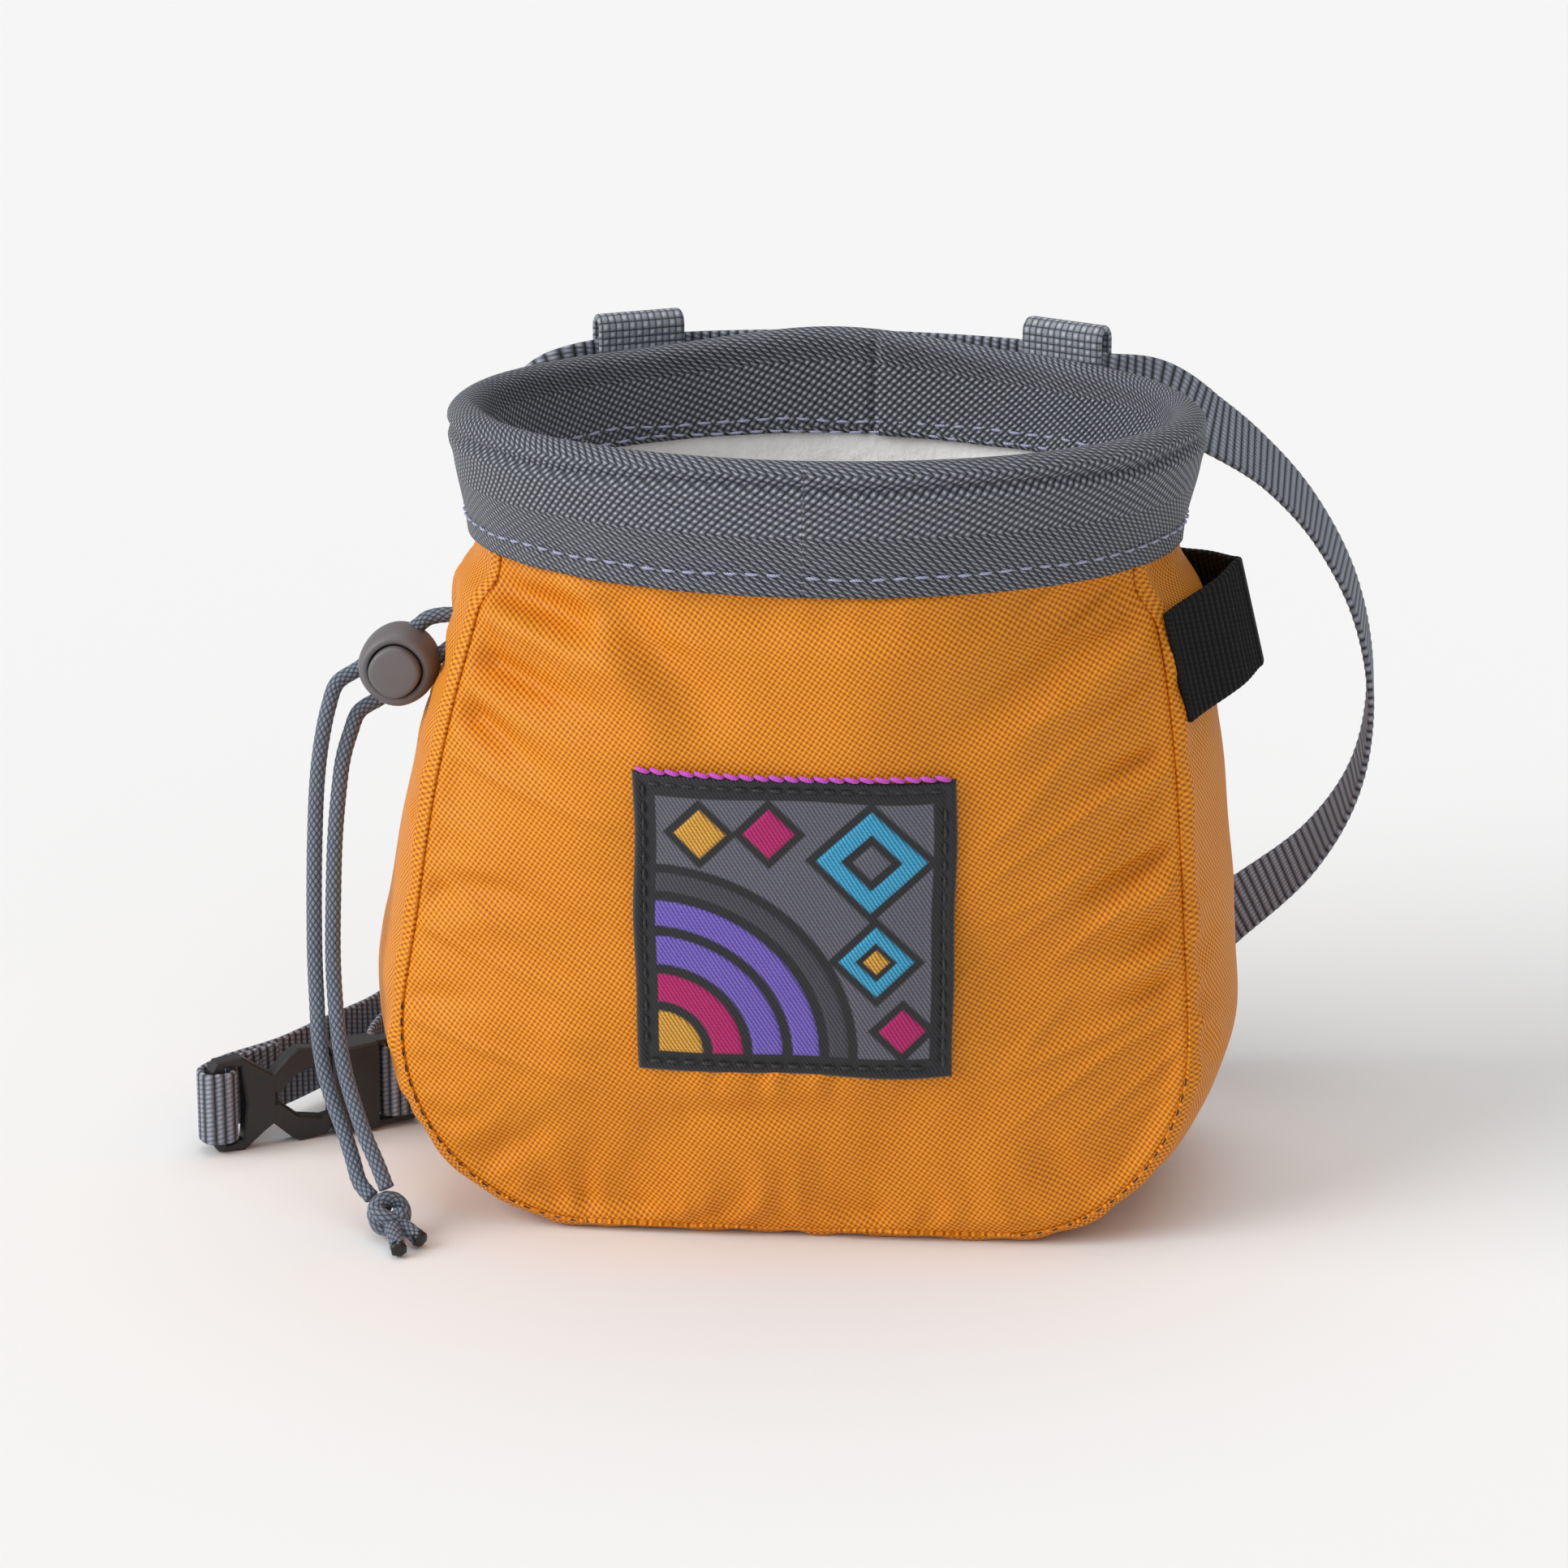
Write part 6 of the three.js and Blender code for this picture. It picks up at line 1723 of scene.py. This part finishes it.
@dataclass
class Cords:
    """The doubled closing cord and the knot at its end."""

    finishes: Finishes
    radius: float = 1.5
    sides: int = 32
    relief: float = 0.16
    lock_centre: tuple = (-80.9, -0.8, 103.4)
    lock_radius: float = 7.8
    spacing: float = 7.2
    tilt: float = 37.0
    knot_centre: tuple = (-78.6, -44.3, 4.75)
    knot_radius: float = 4.4
    inside_a: tuple = ((-67.2, -0.8, 112.2), (-70.6, -0.8, 112.9))
    inside_b: tuple = ((-67.2, -0.8, 107.4),)
    bore_shares: tuple = (-1.25, -0.9, 0.0, 0.6, 1.05)
    route_a: tuple = (
        (-93.4, -2.4, 98.9), (-94.8, -5, 94.7), (-95.7, -8, 89.2), (-96.3, -11, 82.0), (-96.4, -15, 71.1),
        (-96.1, -19, 61.1), (-95.6, -23, 49.1), (-94.9, -26, 41.7), (-94.1, -29, 34.2), (-92.8, -31, 28.1),
        (-90.9, -33, 22.9), (-88.6, -35.2, 17.9), (-86.6, -37.6, 13.2), (-84.8, -40.3, 9.3),
        (-82.3, -42.1, 7.2),
    )
    route_b: tuple = (
        (-89.2, -2.4, 93.2), (-90.6, -5, 89.6), (-91.6, -8, 85.4), (-92.0, -11, 80.4), (-92.4, -15, 71.2),
        (-92.3, -19, 61.2), (-92.0, -23, 49.3), (-91.2, -26.4, 41.8), (-90.0, -29.7, 34.4),
        (-88.4, -32.4, 28.3),
        (-86.4, -35.2, 23.4), (-84.0, -37.9, 18.2), (-81.4, -40.4, 13.6), (-79.2, -42.7, 9.4),
    )
    coil_share: float = 0.66
    floor_gap: float = 0.4
    # spin, lean, start, sweep of each turn, in degrees
    knot_turns: tuple = ((25, 62, -40, 300), (-38, 58, 100, 290), (80, 20, 10, 250))
    tails: tuple = ((-75.0, -55.0, 1.8), (-71.6, -49.6, 1.8))

    def braided(self, line: Array, start: Array) -> tuple[Array, Array]:
        """A braided tube's grid along a line.

        Args:
            line: The centreline.
            start: Roughly the first side direction.

        Returns:
            The grid and its weave coordinates.
        """
        fine = resample(line, 0.3)
        along = np.arange(len(fine))[:, None] * 0.3 / BRAID_PITCH
        turn = np.linspace(0, 1, self.sides, endpoint=False)[None, :] * BRAID_STRANDS
        over = np.abs(np.sin(math.pi * (turn + along)) * np.sin(math.pi * (turn - along))) ** 0.5
        return round_sweep(fine, start, self.radius - self.relief * 0.6, self.sides, self.relief * over)

    def cord_line(self, side: int, inside: tuple, route: tuple) -> Array:
        """One cord's centreline: in from the gusset, through the lock, down to the knot.

        Args:
            side: 1 for the upper bore of the lock, -1 for the lower.
            inside: Its points before the lock.
            route: Its points after the lock.

        Returns:
            The centreline.
        """
        tilt = math.radians(self.tilt)
        way = np.array([-math.cos(tilt), 0.0, -math.sin(tilt)])
        aside = np.array([-math.sin(tilt), 0.0, math.cos(tilt)])
        middle = np.array(self.lock_centre) + aside * side * self.spacing / 2
        bore = [middle + way * share * self.lock_radius for share in self.bore_shares]
        return through([*inside, *bore, *route], 12)

    def build(self) -> None:
        knot = self.knot()
        for name, side, inside, route, node in (
            ("cord_outer", 1, self.inside_a, self.route_a, "drawcord_a"),
            ("cord_inner", -1, self.inside_b, self.route_b, "drawcord_b"),
        ):
            line = self.cord_line(side, inside, route)
            grid, weave = self.braided(line, np.array([0.0, 1.0, 0.0]))
            piece = grid_object(name, grid, weave, (False, True), caps=True)
            dress(piece, self.finishes.cord, BAG, (node,))

    def knot(self) -> bpy.types.Object:
        """Builds the overhand knot with its two cut tails.

        Returns:
            The knot's object.
        """
        centre = np.array(self.knot_centre)
        coil = self.knot_radius * self.coil_share
        parts = []
        for spin, lean, start, sweep in self.knot_turns:
            turn = np.radians(np.linspace(start, start + sweep, 60))
            ring = np.stack([coil * np.cos(turn), coil * np.sin(turn), 0.5 * np.sin(turn * 0.5)], 1)
            a, b = math.radians(lean), math.radians(spin)
            tilt = np.array([[1, 0, 0], [0, math.cos(a), -math.sin(a)], [0, math.sin(a), math.cos(a)]])
            twist = np.array([[math.cos(b), -math.sin(b), 0], [math.sin(b), math.cos(b), 0], [0, 0, 1]])
            parts.append(centre + ring @ tilt.T @ twist.T)
        for end in self.tails:
            parts.append(np.linspace(centre + (np.array(end) - centre) * 0.1, np.array(end), 12))
        pieces = []
        for number, line in enumerate(parts):
            grid, weave = self.braided(line, np.array([0.1, 0.3, 1.0]))
            grid[..., 2] = np.maximum(grid[..., 2], self.floor_gap)
            pieces.append(grid_object(f"knot_part_{number}", grid, weave, (False, True), caps=True))
        knot = join("overhand_knot", pieces)
        dress(knot, self.finishes.cord, BAG, ("cord_knot",))
        for number, end in enumerate(self.tails):
            self.melted_end(f"cord_tip_{number + 1}", centre, np.array(end), knot)
        return knot

    def melted_end(self, name: str, centre: Array, end: Array, knot: bpy.types.Object) -> None:
        """Builds one tail's melted end.

        Args:
            name: The piece's name.
            centre: The knot's centre.
            end: The tail's end.
            knot: The knot that it belongs to; not used.
        """
        way = unit(end - centre)
        line = np.array([end - way * 1.1, end - way * 0.5, end, end + way * 0.35, end + way * 0.5])
        radius = np.array([1.52, 1.6, 1.62, 1.35, 0.7])
        grid, weave = round_sweep(line, np.array([0.1, 0.3, 1.0]), radius, 24)
        lumps = 0.1 * ripples(grid[..., 0] * 9, grid[..., 2] * 9, 9, 95)[..., None]
        grid = grid + unit(grid - line[:, None, :]) * lumps
        grid[..., 2] = np.maximum(grid[..., 2], self.floor_gap)
        piece = grid_object(name, grid, weave, (False, True), caps=True)
        dress(piece, self.finishes.melted)


def join(name: str, pieces: list[bpy.types.Object]) -> bpy.types.Object:
    """Joins meshes into one object.

    Args:
        name: The new name.
        pieces: The objects to join, which must have no parent yet.

    Returns:
        The joined object.
    """
    with bpy.context.temp_override(active_object=pieces[0], object=pieces[0], selected_objects=pieces,
                                   selected_editable_objects=pieces):
        bpy.ops.object.join()
    pieces[0].name = name
    pieces[0].data.name = name
    return pieces[0]


@dataclass
class Label:
    """The woven label with a raised border and a plain geometric design."""

    form: BagForm
    finishes: Finishes
    width: float = 60.0
    height: float = 60.0
    level: float = 67.5
    shift: float = 0.3
    lift: float = 0.5
    thickness: float = 1.1
    border: float = 4.4
    steps: int = 200
    taper: float = 0.012
    stitch_inset: float = 2.15
    stitch_pitch: float = 3.3
    stitch_share: float = 0.72
    edge_stitches: int = 21

    def place(self, p: Array, q: Array, rise: Array) -> tuple[Array, Array]:
        """Places on the front panel under the label.

        Args:
            p: Across the label, from its middle.
            q: Up the label, from its middle.
            rise: Height above the panel.

        Returns:
            The points and their normals.
        """
        form = self.form
        z = self.level + q
        x = self.shift + p
        across = (x - form.lean(z)) / form.seam(z)
        base = form.panel(-1, across, z)
        step = 0.5
        wide = form.panel(-1, across + step / form.seam(z), z) - base
        tall = form.panel(-1, across, z + step) - base
        normals = unit(np.cross(wide, tall))
        normals = np.where(normals[..., 1:2] > 0, -normals, normals)
        return base + normals * np.asarray(rise)[..., None], normals

    def design(self, p: Array, q: Array) -> tuple[Array, Array]:
        """The design's colours and relief.

        Args:
            p: Across the label.
            q: Up the label.

        Returns:
            A linear colour and a height for each place.
        """
        black = np.array(colour(38, 38, 41)[:3])
        field_grey = np.array(colour(112, 112, 126)[:3])
        dark_grey = np.array(colour(78, 78, 88)[:3])
        amber = np.array(colour(250, 182, 62)[:3])
        cyan = np.array(colour(64, 186, 236)[:3])
        violet = np.array(colour(132, 108, 222)[:3])
        magenta = np.array(colour(214, 18, 120)[:3])
        tint = np.broadcast_to(black, (*p.shape, 3)).copy()
        rise = np.zeros(p.shape)
        edge = np.minimum(self.width / 2 - np.abs(p), self.height / 2 - np.abs(q))
        inner = edge - self.border

        def lay(inside: Array, shade: Array, height: float) -> None:
            """Lays one colour where inside is above 0."""
            share = smooth(inside, -0.12, 0.12)[..., None]
            tint[:] = tint * (1 - share) + shade * share
            rise[:] = rise * (1 - share[..., 0]) + height * smooth(inside, 0.0, 0.5)

        lay(inner, field_grey, 0.05)
        corner = np.hypot(p + self.width / 2 - self.border, q + self.height / 2 - self.border)
        bands = ((36.0, 32.4, dark_grey), (30.4, 25.4, violet), (23.4, 17.8, violet), (15.8, 10.2, magenta),
                 (8.2, 0.0, amber))
        for outer, hollow, shade in bands:
            lay(np.minimum(inner + 0.2, outer + 1.8 - corner), black, 0.0)
            lay(np.minimum(np.minimum(inner, outer - corner), corner - hollow), shade, 0.24)
        for x, y, size, shade, heart in ((14.5, 14.0, 9.6, cyan, field_grey), (15.5, -6.0, 6.6, cyan, amber),
                                         (-4.5, 19.0, 4.6, magenta, None), (-17.5, 18.6, 4.6, amber, None),
                                         (20.5, -20.0, 4.2, magenta, None)):
            away = (np.abs(p - x) + np.abs(q - y)) * math.sqrt(0.5)
            lay(np.minimum(inner + 0.2, size * 0.75 + 1.5 - away), black, 0.0)
            lay(np.minimum(inner, size * 0.75 - away), shade, 0.24)
            if heart is not None:
                lay(np.minimum(inner, size * 0.42 - away), black, 0.0)
                lay(np.minimum(inner, size * 0.26 - away), heart, 0.2)
        rise += 0.32 * bell(edge - 0.9, 1.1) + 0.12 * bell(edge - 4.2, 0.7)
        rise -= 0.3 * bell(edge - self.stitch_inset, 0.45)
        return tint, rise

    def build(self) -> None:
        """Builds the label, its sewing and its thread edge."""
        t = np.linspace(-1, 1, self.steps + 1)
        qq, pp = np.meshgrid(t * self.height / 2, t * self.width / 2, indexing="ij")
        tint, rise = self.design(pp, qq)
        far_p, far_q = np.abs(pp) * 2 / self.width, np.abs(qq) * 2 / self.height
        p = pp * (1 - self.taper * (qq < 0) * far_q) + 0.25 * ripples(qq, pp * 0, 26, 101) * far_p
        q = qq + 0.3 * ripples(pp, qq * 0, 30, 103) * far_q
        edge = np.minimum(self.width / 2 - np.abs(pp), self.height / 2 - np.abs(qq))
        bow = 0.45 * ripples(pp, qq, 40, 105)
        body = self.lift + self.thickness * 0.55 * smooth(edge, -0.2, 0.7)
        points, _ = self.place(p, q, body + rise + bow * 0.4 + 0.2)
        piece = grid_object("woven_patch", points, np.stack([pp, qq], -1))
        paint_colours(piece, tint.reshape(-1, 3))
        thicken(piece, 0.55, -1.0)
        dress(piece, self.finishes.label, BAG, ("woven_label",))
        self.sew()

    def sew(self) -> None:
        """Sews the label down, and lays the coloured thread along its top edge."""
        w, h = self.width / 2 - self.stitch_inset, self.height / 2 - self.stitch_inset
        runs = []
        for a, b in (((-w, -h), (w, -h)), ((w, -h), (w, h)), ((w, h), (-w, h)), ((-w, h), (-w, -h))):
            line = np.linspace(a, b, 120)
            rise = np.full(len(line), self.lift + self.thickness * 0.62)
            points, normals = self.place(line[:, 0], line[:, 1], rise)
            runs.append(run_of(points, normals, self.stitch_pitch, self.stitch_share))
        starts, ends, normals = (np.vstack(parts) for parts in zip(*runs))
        piece = stitches("label_stitches", starts, ends, normals, 0.3, 0.22)
        dress(piece, self.finishes.black_thread)
        count = self.edge_stitches
        at = np.linspace(-self.width / 2 + 0.6, self.width / 2 - 4.0, count)
        tops, normals = self.place(at, np.full(count, self.height / 2 + 0.55), np.full(count, 0.9))
        lows, _ = self.place(at + 2.9, np.full(count, self.height / 2 - 0.1), np.full(count, 1.25))
        piece = stitches("label_edge_thread", tops, lows, normals, 0.5, 0.25)
        dress(piece, self.finishes.magenta_thread)


@dataclass
class Buckle:
    """The side-release buckle: the CAD solids with rounded edges and moulded plastic."""

    finishes: Finishes
    round_edge: float = 0.35

    def build(self) -> None:
        """Dresses both halves."""
        for name in ("buckle_male", "buckle_female"):
            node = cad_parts[name]
            node.data.materials.clear()
            node.data.materials.append(self.finishes.black_plastic)
            edge = node.modifiers.new("soft_edges", "BEVEL")
            edge.width = self.round_edge * MM
            edge.segments = 2
            edge.limit_method = "ANGLE"
            edge.angle_limit = math.radians(35)
            log.info("node %s keeps its shape and gets moulded plastic", name)


@dataclass
class Studio:
    """The camera, the lights and the floor."""

    eye: tuple = (77.24, -950.60, 380.71)
    target: tuple = (-5.88, -0.51, 80.0)
    lens: float = 117.39
    sensor: float = 36.0
    world_light: float = 0.36
    floor_half: float = 6000.0
    # way it comes from, strength, spread in degrees
    lamps: tuple = (
        ("key", (-0.86, -0.42, 0.52), 2.25, 46.0),
        ("top", (0.05, 0.20, 1.0), 0.95, 60.0),
        ("front", (0.15, -0.80, 0.60), 0.38, 60.0),
    )

    def camera(self) -> None:
        """Places the camera at the photograph's viewing angle."""
        data = bpy.data.cameras.new("camera")
        data.lens = self.lens
        data.sensor_width = self.sensor
        data.clip_start, data.clip_end = 0.05, 50.0
        camera = bpy.data.objects.new("camera", data)
        bpy.context.scene.collection.objects.link(camera)
        place = Vector(self.eye) * MM
        camera.location = place
        camera.rotation_mode = "QUATERNION"
        camera.rotation_quaternion = (Vector(self.target) * MM - place).to_track_quat("-Z", "Y")
        bpy.context.scene.camera = camera

    def lamp(self, name: str, way: tuple, strength: float, spread: float) -> None:
        """A soft sun.

        Args:
            name: Its name.
            way: The direction that it comes from.
            strength: Its strength.
            spread: Its angular size in degrees.
        """
        data = bpy.data.lights.new(name, "SUN")
        data.energy = strength
        data.angle = math.radians(spread)
        lamp = bpy.data.objects.new(name, data)
        lamp.rotation_mode = "QUATERNION"
        lamp.rotation_quaternion = Vector(way).to_track_quat("Z", "Y")
        bpy.context.scene.collection.objects.link(lamp)

    def build(self) -> None:
        """Makes the lights, the surroundings and the floor."""
        scene = bpy.context.scene
        scene.view_settings.view_transform = "Standard"
        world = bpy.data.worlds.new("studio")
        world.use_nodes = True
        sky = world.node_tree.nodes["Background"]
        sky.inputs["Color"].default_value = (1.0, 1.0, 1.0, 1.0)
        sky.inputs["Strength"].default_value = self.world_light
        scene.world = world
        for lamp in self.lamps:
            self.lamp(*lamp)
        ends = (-self.floor_half, self.floor_half)
        grid = np.array([[[x, y, 0.0] for x in ends] for y in ends])
        floor = grid_object("floor", grid, grid[..., :2])
        floor.data.materials.append(FloorFinish().build())


def main() -> None:
    """Builds the studio, then each sub-assembly in order."""
    logging.basicConfig(level=logging.INFO, format="%(message)s")
    studio = Studio()
    studio.camera()
    finishes = Finishes()
    form = BagForm()
    Cords(finishes).build()
    Shell(form, finishes).build()
    Rim(form, finishes).build()
    Lining(form, finishes).build()
    Label(form, finishes).build()
    Straps(form, finishes).build()
    Buckle(finishes).build()
    CordLock(finishes).build()
    studio.build()


if __name__ == "__main__":
    main()
